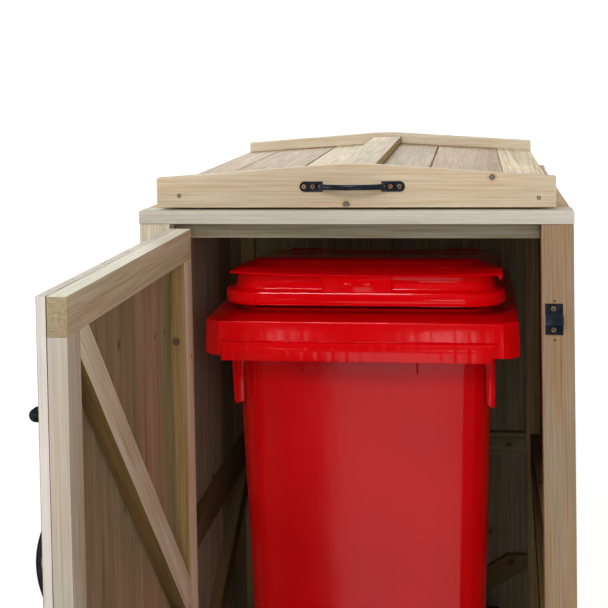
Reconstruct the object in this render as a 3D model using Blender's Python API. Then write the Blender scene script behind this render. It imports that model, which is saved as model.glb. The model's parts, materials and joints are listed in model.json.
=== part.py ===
"""Timber store for one wheeled bin, with its door, roof lid and two-wheeled bin.

Units are metres and +Z is up.  The origin is on the ground, under the middle of the
back foot rail.  The door side faces -Y.  Every sub-part is one named object.  The door
stands open, the roof lid is down and the bin is inside: that is the rest pose.
"""
import math

import bmesh
import bpy
from mathutils import Matrix, Vector

# ---------------------------------------------------------------- driving sizes
GAP = 0.0003                # air between neighbouring pieces

HALF_WIDTH = 0.390          # half the width of the roof frame
DEPTH = 0.972               # depth of the roof frame, front to back
FRAME_TOP = 1.220           # height of the roof frame's upper face
RAIL_THICK = 0.0235         # roof frame boards, laid flat
RAIL_WIDE = 0.060
SIDE_RAIL_INSET = 0.003

POST_OUTER = 0.389
POST_WIDE = 0.0555
POST_DEEP = 0.045
POST_SETBACK = 0.002        # front posts behind the roof frame's front face
REAR_POST_WIDE = 0.050
REAR_POST_FRONT = 0.914     # from the front face of the roof frame

BOARD_THICK = 0.0155        # wall cladding
WALL_OUTER = 0.388
WALL_FOOT = 0.012
GROOVE_WIDE = 0.005
GROOVE_DEEP = 0.003
LEDGE_HIGH = 0.055
LEDGE_DEEP = 0.024
MID_LEDGE_FOOT = 0.500
BRACE_WIDE = 0.052

DOOR_WIDE = 0.660
DOOR_FOOT = 0.035
DOOR_TOP = 1.1895
DOOR_BOARD = 0.014
DOOR_FRAME = 0.0272
STILE_WIDE = 0.052
DOOR_LEDGE_HIGH = 0.0535
DOOR_MID_TOP = 0.530
DOOR_OPEN = math.radians(91.4)
DOOR_EDGE = 0.0055          # hinge line to the door's hinge edge
DOOR_FACE = 0.0045          # hinge line to the door's outer face
HINGE_LINE_PROUD = 0.0050   # hinge line in front of the post's face
HINGE_LINE_X = -0.3365
DOOR_HINGE_HEIGHTS = (0.235, 1.005)

LID_HALF = 0.3605
LID_LIFT = 0.0043           # lid's underside above the roof frame
LID_FRONT = 0.018           # lid's front face behind the roof frame's front face
LID_REAR = 1.025            # lid's rear face
FASCIA_THICK = 0.020
FASCIA_END = 0.059          # fascia top above the roof frame, at its ends
FASCIA_APEX = 0.083
APEX_HALF = 0.045           # half the length of the rounded top
ROOF_BOARD = 0.016
EAVES_RISE = 0.036          # roof surface above the roof frame, at the sides
RIDGE_RISE = 0.058
CAP_HALF = 0.034
CAP_THICK = 0.0165
LID_HINGE_BACK = 0.977      # lid hinge line behind the frame's front face
LID_HINGE_RISE = 0.0021
LID_HINGE_X = (-0.22, 0.22)

BIN_X = 0.001               # bin's middle
BIN_WALL = 0.004
RIM_HALF = 0.2895
RIM_FRONT = 0.095
RIM_BACK = 0.735
RIM_TOP = 1.000
RIM_SKIRT = 0.065
WHEEL_RADIUS = 0.099
WHEEL_WIDE = 0.046
WHEEL_INNER = 0.222
AXLE_BACK = 0.705
AXLE_HIGH = 0.100
AXLE_RADIUS = 0.010
BIN_HINGE_BACK = 0.775
BIN_HINGE_HIGH = 1.030
BIN_LUG = 0.010               # radius round the lid's hinge rod
LID_FALL_START = 0.240      # the bin's lid slopes down behind this line
LID_FALL_LONG = 0.500
ROD_RADIUS = 0.005
BORE_CLEAR = 0.0004

BOLT_HIGH = 1.0295
BOLT_RADIUS = 0.0045
BOLT_OUT = 0.0090           # bolt's centre line outside the door's outer face
PULL_LONG = 0.190
PULL_FLANGE_LONG = 0.042
PULL_FLANGE_HIGH = 0.019
PULL_PLATE = 0.003
PULL_REACH = 0.0235
PULL_SAG = 0.0133           # how much less the bow reaches near its ends
PULL_ROD = 0.0045

# the back foot rail's middle is at y = 0
BACK_LEDGE_FRONT = REAR_POST_FRONT + 0.0045
FRONT = -(BACK_LEDGE_FRONT + LEDGE_DEEP / 2)
BACK = FRONT + DEPTH
POST_TOP = FRAME_TOP - RAIL_THICK - GAP
POST_FACE = FRONT + POST_SETBACK
OPENING_HALF = POST_OUTER - POST_WIDE
HINGE_LINE_Y = POST_FACE - HINGE_LINE_PROUD

WOOD = {}
METAL = {}
PLASTIC = {}


# ---------------------------------------------------------------- scene and materials
def clear_scene():
    for old in list(bpy.data.objects):
        bpy.data.objects.remove(old, do_unlink=True)


def material(name, colour, roughness, metallic=0.0):
    made = bpy.data.materials.new(name)
    made.use_nodes = True
    shader = made.node_tree.nodes["Principled BSDF"]
    shader.inputs["Base Color"].default_value = (*colour, 1.0)
    shader.inputs["Roughness"].default_value = roughness
    shader.inputs["Metallic"].default_value = metallic
    made.diffuse_color = (*colour, 1.0)
    return made


def make_materials():
    WOOD["frame"] = material("planed_pine", (0.62, 0.50, 0.36), 0.65)
    WOOD["boards"] = material("tongue_and_groove_pine", (0.52, 0.42, 0.29), 0.70)
    WOOD["roof"] = material("roof_pine", (0.58, 0.47, 0.31), 0.65)
    METAL["black"] = material("black_coated_steel", (0.012, 0.014, 0.020), 0.35, 0.4)
    METAL["zinc"] = material("zinc_plated_steel", (0.55, 0.55, 0.56), 0.30, 1.0)
    PLASTIC["red"] = material("red_polyethylene", (0.62, 0.004, 0.012), 0.28)
    PLASTIC["rubber"] = material("black_rubber", (0.015, 0.015, 0.016), 0.75)


# ---------------------------------------------------------------- building blocks
def link(name, bm, mat, parent=None, place=(0, 0, 0)):
    """Turn a bmesh into an object whose origin is at place, in its parent's frame."""
    mesh = bpy.data.meshes.new(name)
    bmesh.ops.recalc_face_normals(bm, faces=bm.faces)
    bm.to_mesh(mesh)
    bm.free()
    mesh.materials.append(mat)
    made = bpy.data.objects.new(name, mesh)
    bpy.context.scene.collection.objects.link(made)
    made.parent = parent
    made.location = place
    return made


def empty(name, place, turn=0.0):
    made = bpy.data.objects.new(name, None)
    made.location = place
    made.rotation_euler = (0, 0, turn)
    made.empty_display_size = 0.05
    bpy.context.scene.collection.objects.link(made)
    return made


def box_mesh(low, high):
    bm = bmesh.new()
    bmesh.ops.create_cube(bm, size=1.0)
    middle = [(a + b) / 2 for a, b in zip(low, high)]
    size = [b - a for a, b in zip(low, high)]
    bmesh.ops.scale(bm, vec=size, verts=bm.verts)
    bmesh.ops.translate(bm, vec=middle, verts=bm.verts)
    return bm


def box(name, low, high, mat, parent=None):
    return link(name, box_mesh(low, high), mat, parent)


def prism_mesh(outline, axis, start, end):
    """Extrude a closed outline along x, y or z.

    An outline point holds the other two coordinates in x, y, z order.
    """
    def point(a, b, c):
        return {"x": (c, a, b), "y": (a, c, b), "z": (a, b, c)}[axis]

    bm = bmesh.new()
    near = [bm.verts.new(point(a, b, start)) for a, b in outline]
    far = [bm.verts.new(point(a, b, end)) for a, b in outline]
    bm.faces.new(near)
    bm.faces.new(far)
    count = len(outline)
    for i in range(count):
        j = (i + 1) % count
        bm.faces.new((near[i], near[j], far[j], far[i]))
    return bm


def prism(name, outline, axis, start, end, mat, parent=None):
    return link(name, prism_mesh(outline, axis, start, end), mat, parent)


def rod_mesh(axis, centre, radius, start, end, segments=24):
    turn = {"x": Matrix.Rotation(math.pi / 2, 4, "Y"),
            "y": Matrix.Rotation(math.pi / 2, 4, "X"),
            "z": Matrix.Identity(4)}[axis]
    middle = Vector(centre)
    middle["xyz".index(axis)] = (start + end) / 2
    bm = bmesh.new()
    bmesh.ops.create_cone(bm, cap_ends=True, segments=segments, radius1=radius,
                          radius2=radius, depth=end - start,
                          matrix=Matrix.Translation(middle) @ turn)
    return bm


def guide(name, bm, parent=None):
    """A helper shape for a Boolean: it isn't part of the object."""
    made = link(name, bm, METAL["zinc"], parent)
    made.hide_render = True
    made.display_type = "WIRE"
    return made


def boolean(target, operation, helper):
    step = target.modifiers.new(operation.lower() + "_" + helper.name, "BOOLEAN")
    step.operation = operation
    step.object = helper
    step.solver = "EXACT"


def add(target, name, bm):
    boolean(target, "UNION", guide(name, bm, target.parent))


def cut(target, name, bm):
    boolean(target, "DIFFERENCE", guide(name, bm, target.parent))


def smooth(target, angle=40):
    target.data.shade_smooth()
    target.data.set_sharp_from_angle(angle=math.radians(angle))


def grooved_outline(start, end, count, near, far):
    """Plan of a boarded panel: V grooves on both faces where two boards meet."""
    board = (end - start) / count
    joints = [start + board * i for i in range(1, count)]
    half = GROOVE_WIDE / 2
    inward = GROOVE_DEEP if far > near else -GROOVE_DEEP
    outline = [(start, near)]
    for joint in joints:
        outline += [(joint - half, near), (joint, near + inward), (joint + half, near)]
    outline += [(end, near), (end, far)]
    for joint in reversed(joints):
        outline += [(joint + half, far), (joint, far - inward), (joint - half, far)]
    outline.append((start, far))
    return outline


def brace_outline(a, b):
    """A diagonal board from corner a to corner b of a bay, its ends cut to the corners."""
    run = b[0] - a[0]
    rise = b[1] - a[1]
    length = math.hypot(run, rise)
    along = math.copysign(BRACE_WIDE / 2 * length / abs(rise), run)
    up = math.copysign(BRACE_WIDE / 2 * length / abs(run), rise)
    return [a, (a[0] + along, a[1]), (b[0], b[1] - up),
            b, (b[0] - along, b[1]), (a[0], a[1] + up)]


# ---------------------------------------------------------------- the store's carcass
def front_posts():
    foot, top = 0.0, POST_TOP
    back = POST_FACE + POST_DEEP
    outline = [(-POST_OUTER, back), (-OPENING_HALF, back), (-OPENING_HALF, POST_FACE)]
    pitch = 0.007
    reeds = int(POST_WIDE / pitch)
    first = -OPENING_HALF - (POST_WIDE - (reeds - 1) * pitch) / 2
    for i in range(reeds):
        middle = first - i * pitch
        outline += [(middle + 0.0012, POST_FACE), (middle, POST_FACE + 0.0015),
                    (middle - 0.0012, POST_FACE)]
    outline.append((-POST_OUTER, POST_FACE))
    prism("front_post_left", outline, "z", foot, top, WOOD["frame"])
    box("front_post_right", (OPENING_HALF, POST_FACE, foot), (POST_OUTER, back, top),
        WOOD["frame"])


def rear_posts():
    front = FRONT + REAR_POST_FRONT
    inner = POST_OUTER - REAR_POST_WIDE
    for side, name in ((-1, "rear_post_left"), (1, "rear_post_right")):
        low, high = sorted((side * inner, side * (POST_OUTER - 0.0005)))
        box(name, (low, front, 0.0), (high, front + POST_DEEP, POST_TOP), WOOD["frame"])


def walls():
    near = POST_FACE + POST_DEEP + GAP
    far = FRONT + REAR_POST_FRONT - GAP
    side_boards = 6
    back_boards = 5
    for side, name in ((-1, "left_wall_boards"), (1, "right_wall_boards")):
        outline = grooved_outline(near, far, side_boards,
                                  side * (WALL_OUTER - BOARD_THICK), side * WALL_OUTER)
        swapped = [(b, a) for a, b in outline]
        prism(name, swapped, "z", WALL_FOOT, POST_TOP, WOOD["boards"])
    inner = POST_OUTER - REAR_POST_WIDE - GAP
    front = FRONT + BACK_LEDGE_FRONT + LEDGE_DEEP + GAP
    prism("back_wall_boards",
          grooved_outline(-inner, inner, back_boards, front, front + BOARD_THICK),
          "z", WALL_FOOT, POST_TOP, WOOD["boards"])


def ledges():
    near = POST_FACE + POST_DEEP + GAP
    far = FRONT + REAR_POST_FRONT - GAP
    outer = WALL_OUTER - BOARD_THICK - GAP
    levels = {"foot_rail": (0.0, LEDGE_HIGH),
              "mid_ledge": (MID_LEDGE_FOOT, MID_LEDGE_FOOT + LEDGE_HIGH),
              "top_ledge": (POST_TOP - LEDGE_HIGH, POST_TOP)}
    back_half = POST_OUTER - REAR_POST_WIDE - GAP
    back_front = FRONT + BACK_LEDGE_FRONT
    for level, (foot, top) in levels.items():
        for side, name in ((-1, "left"), (1, "right")):
            low, high = sorted((side * (outer - LEDGE_DEEP), side * outer))
            box(name + "_" + level, (low, near, foot), (high, far, top), WOOD["frame"])
        box("back_" + level, (-back_half, back_front, foot),
            (back_half, back_front + LEDGE_DEEP, top), WOOD["frame"])


def wall_braces():
    near = POST_FACE + POST_DEEP + 2 * GAP
    far = FRONT + REAR_POST_FRONT - 2 * GAP
    foot = LEDGE_HIGH + GAP
    top = MID_LEDGE_FOOT - GAP
    outer = WALL_OUTER - BOARD_THICK - GAP
    outline = brace_outline((near, foot), (far, top))
    for side, name in ((-1, "left_wall_brace"), (1, "right_wall_brace")):
        prism(name, outline, "x", side * (outer - LEDGE_DEEP), side * outer, WOOD["frame"])
    knee_run = 0.30
    knee_rise = 0.19
    right = POST_OUTER - REAR_POST_WIDE - GAP
    back_front = FRONT + BACK_LEDGE_FRONT
    prism("back_wall_brace", brace_outline((right - knee_run, foot), (right, foot + knee_rise)),
          "y", back_front, back_front + LEDGE_DEEP, WOOD["frame"])


def head_rail():
    front = POST_FACE + 0.0445
    half = OPENING_HALF - 0.001
    box("door_head_rail", (-half, front, POST_TOP - 0.031), (half, front + 0.022, POST_TOP),
        WOOD["frame"])


def roof_frame():
    foot = FRAME_TOP - RAIL_THICK
    side_outer = HALF_WIDTH - SIDE_RAIL_INSET
    box("roof_frame_front", (-HALF_WIDTH, FRONT, foot),
        (HALF_WIDTH, FRONT + RAIL_WIDE, FRAME_TOP), WOOD["frame"])
    box("roof_frame_rear", (-HALF_WIDTH, BACK - RAIL_WIDE, foot),
        (HALF_WIDTH, BACK, FRAME_TOP), WOOD["frame"])
    for side, name in ((-1, "roof_frame_left"), (1, "roof_frame_right")):
        low, high = sorted((side * (side_outer - RAIL_WIDE), side * side_outer))
        box(name, (low, FRONT + RAIL_WIDE + GAP, foot),
            (high, BACK - RAIL_WIDE - GAP, FRAME_TOP), WOOD["frame"])


# ---------------------------------------------------------------- the roof lid
def roof_surface(x):
    """Height of the roof boards' upper face at x."""
    slope = (RIDGE_RISE - EAVES_RISE) / LID_HALF
    return FRAME_TOP + RIDGE_RISE - slope * abs(x)


def fascia_outline():
    """A board with two straight slopes that run into a rounded top."""
    foot = FRAME_TOP + LID_LIFT
    slope = (FASCIA_APEX - FASCIA_END) / (LID_HALF - APEX_HALF / 2)
    crown = FRAME_TOP + FASCIA_APEX - slope * APEX_HALF / 2
    steps = 6
    outline = [(-LID_HALF, foot), (LID_HALF, foot), (LID_HALF, FRAME_TOP + FASCIA_END)]
    for i in range(steps + 1):
        x = APEX_HALF * (1 - 2 * i / steps)
        outline.append((x, crown - slope * (x * x - APEX_HALF ** 2) / (2 * APEX_HALF)))
    outline.append((-LID_HALF, FRAME_TOP + FASCIA_END))
    return outline


def lid_fascias(hinge):
    outline = fascia_outline()
    front = FRONT + LID_FRONT
    rear = FRONT + LID_REAR
    for name, near in (("lid_front_fascia", front), ("lid_rear_fascia", rear - FASCIA_THICK)):
        made = prism(name, outline, "y", near, near + FASCIA_THICK, WOOD["roof"])
        hang(made, hinge)


def hang(made, hinge):
    """Parent a piece to its hinge empty and leave it where it is."""
    made.parent = hinge
    made.location = made.location - hinge.location


def lid_boards(hinge):
    near = FRONT + LID_FRONT + FASCIA_THICK + GAP
    far = FRONT + LID_REAR - FASCIA_THICK - GAP
    joints = (0.130, 0.275)
    outer = LID_HALF - 0.004
    half = GROOVE_WIDE / 2
    for side, name in ((-1, "left_roof_boards"), (1, "right_roof_boards")):
        xs = [GAP]
        drops = [0.0]
        for joint in joints:
            xs += [joint - half, joint, joint + half]
            drops += [0.0, GROOVE_DEEP, 0.0]
        xs.append(outer)
        drops.append(0.0)
        upper = [(side * x, roof_surface(x) - drop) for x, drop in zip(xs, drops)]
        lower = [(side * outer, roof_surface(outer) - ROOF_BOARD),
                 (side * GAP, roof_surface(0) - ROOF_BOARD)]
        hang(prism(name, upper + lower, "y", near, far, WOOD["roof"]), hinge)
    seat = roof_surface(0) + GAP
    hang(box("ridge_cap", (-CAP_HALF, near, seat), (CAP_HALF, far, seat + CAP_THICK - 0.001),
             WOOD["roof"]), hinge)


def lid_battens(hinge):
    foot = FRAME_TOP + LID_LIFT
    cross = 0.025
    half = LID_HALF - 0.005
    inner = half - 0.030
    front = FRONT + LID_FRONT + FASCIA_THICK + GAP
    rear = FRONT + LID_REAR - FASCIA_THICK - GAP

    def under(x):
        return roof_surface(x) - ROOF_BOARD - GAP

    shape = [(-inner, foot), (inner, foot), (inner, under(inner)), (0, under(0)),
             (-inner, under(inner))]
    near_rear = FRONT + LID_HINGE_BACK - 0.032
    hang(prism("lid_front_batten", shape, "y", front, front + cross, WOOD["frame"]), hinge)
    hang(prism("lid_rear_batten", shape, "y", near_rear, near_rear + cross, WOOD["frame"]),
         hinge)
    for side, name in ((-1, "lid_left_batten"), (1, "lid_right_batten")):
        section = [(side * (inner + GAP), foot), (side * half, foot),
                   (side * half, under(half)), (side * (inner + GAP), under(inner + GAP))]
        hang(prism(name, section, "y", front, rear, WOOD["frame"]), hinge)


def lid_hinges(hinge):
    """Butt hinges folded flat between the roof frame and the lid's rear batten."""
    leaf = 0.0012
    length = 0.060
    reach = 0.030
    radius = 0.0019
    y = FRONT + LID_HINGE_BACK
    z = FRAME_TOP + LID_HINGE_RISE
    pin = 0.0009
    third = length / 6
    for x, name in zip(LID_HINGE_X, ("left", "right")):
        low = FRAME_TOP + GAP
        lower = box("lid_hinge_leaf_lower_" + name, (x - length / 2, y - reach, low),
                    (x + length / 2, y - 0.0028, low + leaf), METAL["zinc"])
        for side in (-1, 1):
            start, end = sorted((x + side * third, x + side * length / 2))
            tag = "lower_%s_%d" % (name, side)
            add(lower, "knuckle_" + tag, rod_mesh("x", (x, y, z), radius, start, end, 16))
            add(lower, "web_" + tag,
                box_mesh((start, y - 0.0035, low), (end, y - 0.0002, low + leaf)))
        add(lower, "pin_" + name,
            rod_mesh("x", (x, y, z), pin, x - length / 2 + 0.001, x + length / 2 - 0.001, 12))
        high = FRAME_TOP + LID_LIFT - GAP
        upper = box("lid_hinge_leaf_upper_" + name, (x - length / 2, y - reach, high - leaf),
                    (x + length / 2, y - 0.0028, high), METAL["zinc"])
        start, end = x - third + GAP, x + third - GAP
        add(upper, "knuckle_upper_" + name, rod_mesh("x", (x, y, z), radius, start, end, 16))
        add(upper, "web_upper_" + name,
            box_mesh((start, y - 0.0035, high - leaf), (end, y - 0.0002, high)))
        cut(upper, "bore_" + name,
            rod_mesh("x", (x, y, z), pin + GAP, start - 0.01, end + 0.01, 12))
        hang(upper, hinge)


# ---------------------------------------------------------------- bow handle
def bow_path(steps=12):
    """Centre line of the bow: a steep foot at each flange and a flat arch in -Y between."""
    half = PULL_LONG / 2 - PULL_FLANGE_LONG + PULL_ROD + 0.001
    arch = half - 0.0035
    points = [(-half, -PULL_PLATE / 2), (-half + 0.0006, -0.0055)]
    for i in range(steps + 1):
        share = 2 * i / steps - 1
        points.append((arch * share, -PULL_REACH + PULL_SAG * share * share))
    return points + [(half - 0.0006, -0.0055), (half, -PULL_PLATE / 2)]


def tube_mesh(path, radius, segments=10):
    """Sweep a circle along a path in the xy plane, with a cap at each end."""
    bm = bmesh.new()
    rings = []
    for i, (x, y) in enumerate(path):
        before = path[max(i - 1, 0)]
        after = path[min(i + 1, len(path) - 1)]
        heading = math.atan2(after[1] - before[1], after[0] - before[0])
        ring = []
        for k in range(segments):
            turn = 2 * math.pi * k / segments
            side = radius * math.cos(turn)
            ring.append(bm.verts.new((x - side * math.sin(heading),
                                      y + side * math.cos(heading),
                                      radius * math.sin(turn))))
        rings.append(ring)
    for one, two in zip(rings, rings[1:]):
        for k in range(segments):
            j = (k + 1) % segments
            bm.faces.new((one[k], one[j], two[j], two[k]))
    bm.faces.new(rings[0])
    bm.faces.new(rings[-1])
    return bm


def flange_outline(side):
    """A flat end plate, square towards the bow and round at its outer end."""
    inner = side * (PULL_LONG / 2 - PULL_FLANGE_LONG)
    round_radius = PULL_FLANGE_HIGH / 2
    centre = side * (PULL_LONG / 2 - round_radius)
    outline = [(inner, -round_radius), (centre, -round_radius)]
    steps = 8
    for i in range(1, steps):
        turn = -math.pi / 2 + math.pi * i / steps
        outline.append((centre + side * round_radius * math.cos(turn),
                        round_radius * math.sin(turn)))
    outline += [(centre, round_radius), (inner, round_radius)]
    return outline


def bow_handle(name, parent, place, upright=False):
    """Bow handle with its back on the plane y = 0 of its own frame."""
    start, end = -PULL_PLATE, 0.0
    made = prism(name, flange_outline(-1), "y", start, end, METAL["black"], parent)
    pieces = ((name + "_flange", prism_mesh(flange_outline(1), "y", start, end)),
              (name + "_bow", tube_mesh(bow_path(), PULL_ROD)))
    turn = math.pi / 2 if upright else 0.0
    made.location = place
    made.rotation_euler = (0, turn, 0)
    for helper_name, bm in pieces:
        helper = guide(helper_name, bm, parent)
        helper.location = place
        helper.rotation_euler = (0, turn, 0)
        boolean(made, "UNION", helper)
    smooth(made)


# ---------------------------------------------------------------- the door
def door_boards(hinge):
    outline = grooved_outline(DOOR_EDGE, DOOR_EDGE + DOOR_WIDE, 5,
                              DOOR_FACE, DOOR_FACE + DOOR_BOARD)
    prism("door_boards", outline, "z", DOOR_FOOT, DOOR_TOP, WOOD["boards"], hinge)


def door_frame(hinge):
    near = DOOR_FACE + DOOR_BOARD + GAP
    far = near + DOOR_FRAME
    left = DOOR_EDGE
    right = DOOR_EDGE + DOOR_WIDE
    foot_top = DOOR_FOOT + DOOR_LEDGE_HIGH
    head_foot = DOOR_TOP - DOOR_LEDGE_HIGH
    mid_foot = DOOR_MID_TOP - DOOR_LEDGE_HIGH
    inner_left = left + STILE_WIDE
    inner_right = right - STILE_WIDE
    box("door_top_ledge", (left, near, head_foot), (right, far, DOOR_TOP),
        WOOD["frame"], hinge)
    box("door_bottom_ledge", (left, near, DOOR_FOOT), (right, far, foot_top),
        WOOD["frame"], hinge)
    box("door_mid_ledge", (inner_left + GAP, near, mid_foot),
        (inner_right - GAP, far, DOOR_MID_TOP), WOOD["frame"], hinge)
    box("door_hinge_stile", (left, near, foot_top + GAP), (inner_left, far, head_foot - GAP),
        WOOD["frame"], hinge)
    box("door_closing_stile", (inner_right, near, foot_top + GAP),
        (right, far, head_foot - GAP), WOOD["frame"], hinge)
    bays = (("door_upper_brace", DOOR_MID_TOP, head_foot),
            ("door_lower_brace", foot_top, mid_foot))
    for name, foot, top in bays:
        outline = brace_outline((inner_left + GAP, foot + GAP), (inner_right - GAP, top - GAP))
        prism(name, outline, "y", near, far, WOOD["frame"], hinge)


def door_hinges(hinge):
    """Tee hinges: a leaf with the pin on the post, a long tapered strap on the door."""
    radius = 0.0045
    pin = 0.0022
    thick = 0.0020
    half_leaf = 0.052
    half_strap = 0.0165
    leaf_wide = 0.036
    strap_long = 0.300
    for z, name in zip(DOOR_HINGE_HEIGHTS, ("lower", "upper")):
        back = HINGE_LINE_PROUD - GAP
        x, y = HINGE_LINE_X, HINGE_LINE_Y
        leaf = box("door_hinge_leaf_" + name, (x - leaf_wide, y + back - thick, z - half_leaf),
                   (x - radius - 0.0008, y + back, z + half_leaf), METAL["black"])
        for side in (-1, 1):
            start, end = sorted((z + side * half_strap, z + side * (half_leaf - 0.006)))
            tag = "%s_%d" % (name, side)
            add(leaf, "leaf_knuckle_" + tag, rod_mesh("z", (x, y, z), radius, start, end, 16))
            add(leaf, "leaf_web_" + tag,
                box_mesh((x - radius - 0.002, y + back - thick, start), (x, y + back, end)))
        add(leaf, "leaf_pin_" + name,
            rod_mesh("z", (x, y, z), pin, z - half_leaf + 0.008, z + half_leaf - 0.008, 12))
        outer = DOOR_FACE - GAP
        low, high = z - half_strap + GAP, z + half_strap - GAP
        tip = 0.009
        outline = [(0.0, low), (strap_long - tip, z - tip), (strap_long, z - tip / 2),
                   (strap_long, z + tip / 2), (strap_long - tip, z + tip), (0.0, high)]
        strap = prism("door_hinge_strap_" + name, outline, "y", outer - thick, outer,
                      METAL["black"], hinge)
        add(strap, "strap_knuckle_" + name, rod_mesh("z", (0, 0, 0), radius, low, high, 16))
        cut(strap, "strap_bore_" + name,
            rod_mesh("z", (0, 0, 0), pin + GAP, low - 0.01, high + 0.01, 12))


def bolt(hinge):
    """Barrel bolt on the door's outer face.  It slides towards the door's closing edge."""
    face = DOOR_FACE - GAP
    plate = 0.0020
    centre = DOOR_FACE - BOLT_OUT
    collar = 0.0090
    plate_start, plate_end = 0.541, 0.6545
    inner_collar = (0.545, 0.557)
    outer_collar = (0.640, 0.6525)
    knob_u = 0.590
    knob_turn = math.radians(-70)       # the knob hangs down, a little off the plate
    z = BOLT_HIGH
    body = box("bolt_barrel", (plate_start, face - plate, z - 0.0155),
               (plate_end, face, z + 0.0155), METAL["black"], hinge)
    for tag, (start, end) in (("inner", inner_collar), ("outer", outer_collar)):
        add(body, "bolt_collar_" + tag, rod_mesh("x", (0, centre, z), collar, start, end, 20))
        add(body, "bolt_collar_foot_" + tag,
            box_mesh((start, centre, z - collar), (end, face - plate / 2, z + collar)))
    cut(body, "bolt_bore",
        rod_mesh("x", (0, centre, z), BOLT_RADIUS + GAP, plate_start - 0.01, plate_end + 0.01))
    guide_line = empty("bolt_slide", (knob_u, centre, z))
    guide_line.parent = hinge
    start, end = 0.538 - knob_u, 0.6535 - knob_u
    rod = link("bolt_rod", rod_mesh("x", (0, 0, 0), BOLT_RADIUS, start, end, 20),
               METAL["black"], guide_line)
    stem = rod_mesh("y", (0, 0, 0), 0.0032, -0.010, 0.0, 12)
    ball = bmesh.new()
    bmesh.ops.create_uvsphere(ball, u_segments=16, v_segments=10, radius=0.0090)
    bmesh.ops.translate(ball, vec=(0, -0.0160, 0), verts=ball.verts)
    for tag, shape in (("stem", stem), ("ball", ball)):
        bmesh.ops.rotate(shape, cent=(0, 0, 0), verts=shape.verts,
                         matrix=Matrix.Rotation(-knob_turn, 3, "X"))
        add(rod, "bolt_knob_" + tag, shape)
    smooth(body)
    smooth(rod)


def bolt_keep():
    """Bent strap on the right post that the bolt slides into."""
    x0, x1 = 0.3380, 0.3690
    thick = 0.0022
    seat = POST_FACE - GAP
    z = BOLT_HIGH
    reach = BOLT_OUT + HINGE_LINE_PROUD - DOOR_FACE + BOLT_RADIUS + 0.0008
    out = seat - reach
    shape = [(seat, z - 0.0275), (seat, z - 0.0095), (out, z - 0.0062),
             (out, z + 0.0062), (seat, z + 0.0095), (seat, z + 0.0275),
             (seat - thick, z + 0.0275), (seat - thick, z + 0.0115),
             (out - thick, z + 0.0082), (out - thick, z - 0.0082),
             (seat - thick, z - 0.0115), (seat - thick, z - 0.0275)]
    prism("bolt_keep", shape, "x", x0, x1, METAL["black"])


# ---------------------------------------------------------------- the bin
def rounded_ring(bm, half, near, far, corner, z, per_corner=4):
    """A ring of vertices round a rounded rectangle, seen from above."""
    ring = []
    corners = ((half - corner, FRONT + near + corner, -math.pi / 2),
               (half - corner, FRONT + far - corner, 0.0),
               (-half + corner, FRONT + far - corner, math.pi / 2),
               (-half + corner, FRONT + near + corner, math.pi))
    for cx, cy, first in corners:
        for i in range(per_corner + 1):
            turn = first + math.pi / 2 * i / per_corner
            ring.append(bm.verts.new((BIN_X + cx + corner * math.cos(turn),
                                      cy + corner * math.sin(turn), z)))
    return ring


def loft(rings):
    """Skin a list of (half, near, far, corner, z) rings and cap the first and the last."""
    bm = bmesh.new()
    made = [rounded_ring(bm, *ring) for ring in rings]
    for one, two in zip(made, made[1:]):
        count = len(one)
        for k in range(count):
            j = (k + 1) % count
            bm.faces.new((one[k], one[j], two[j], two[k]))
    bm.faces.new(made[0])
    bm.faces.new(made[-1])
    return bm


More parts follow.
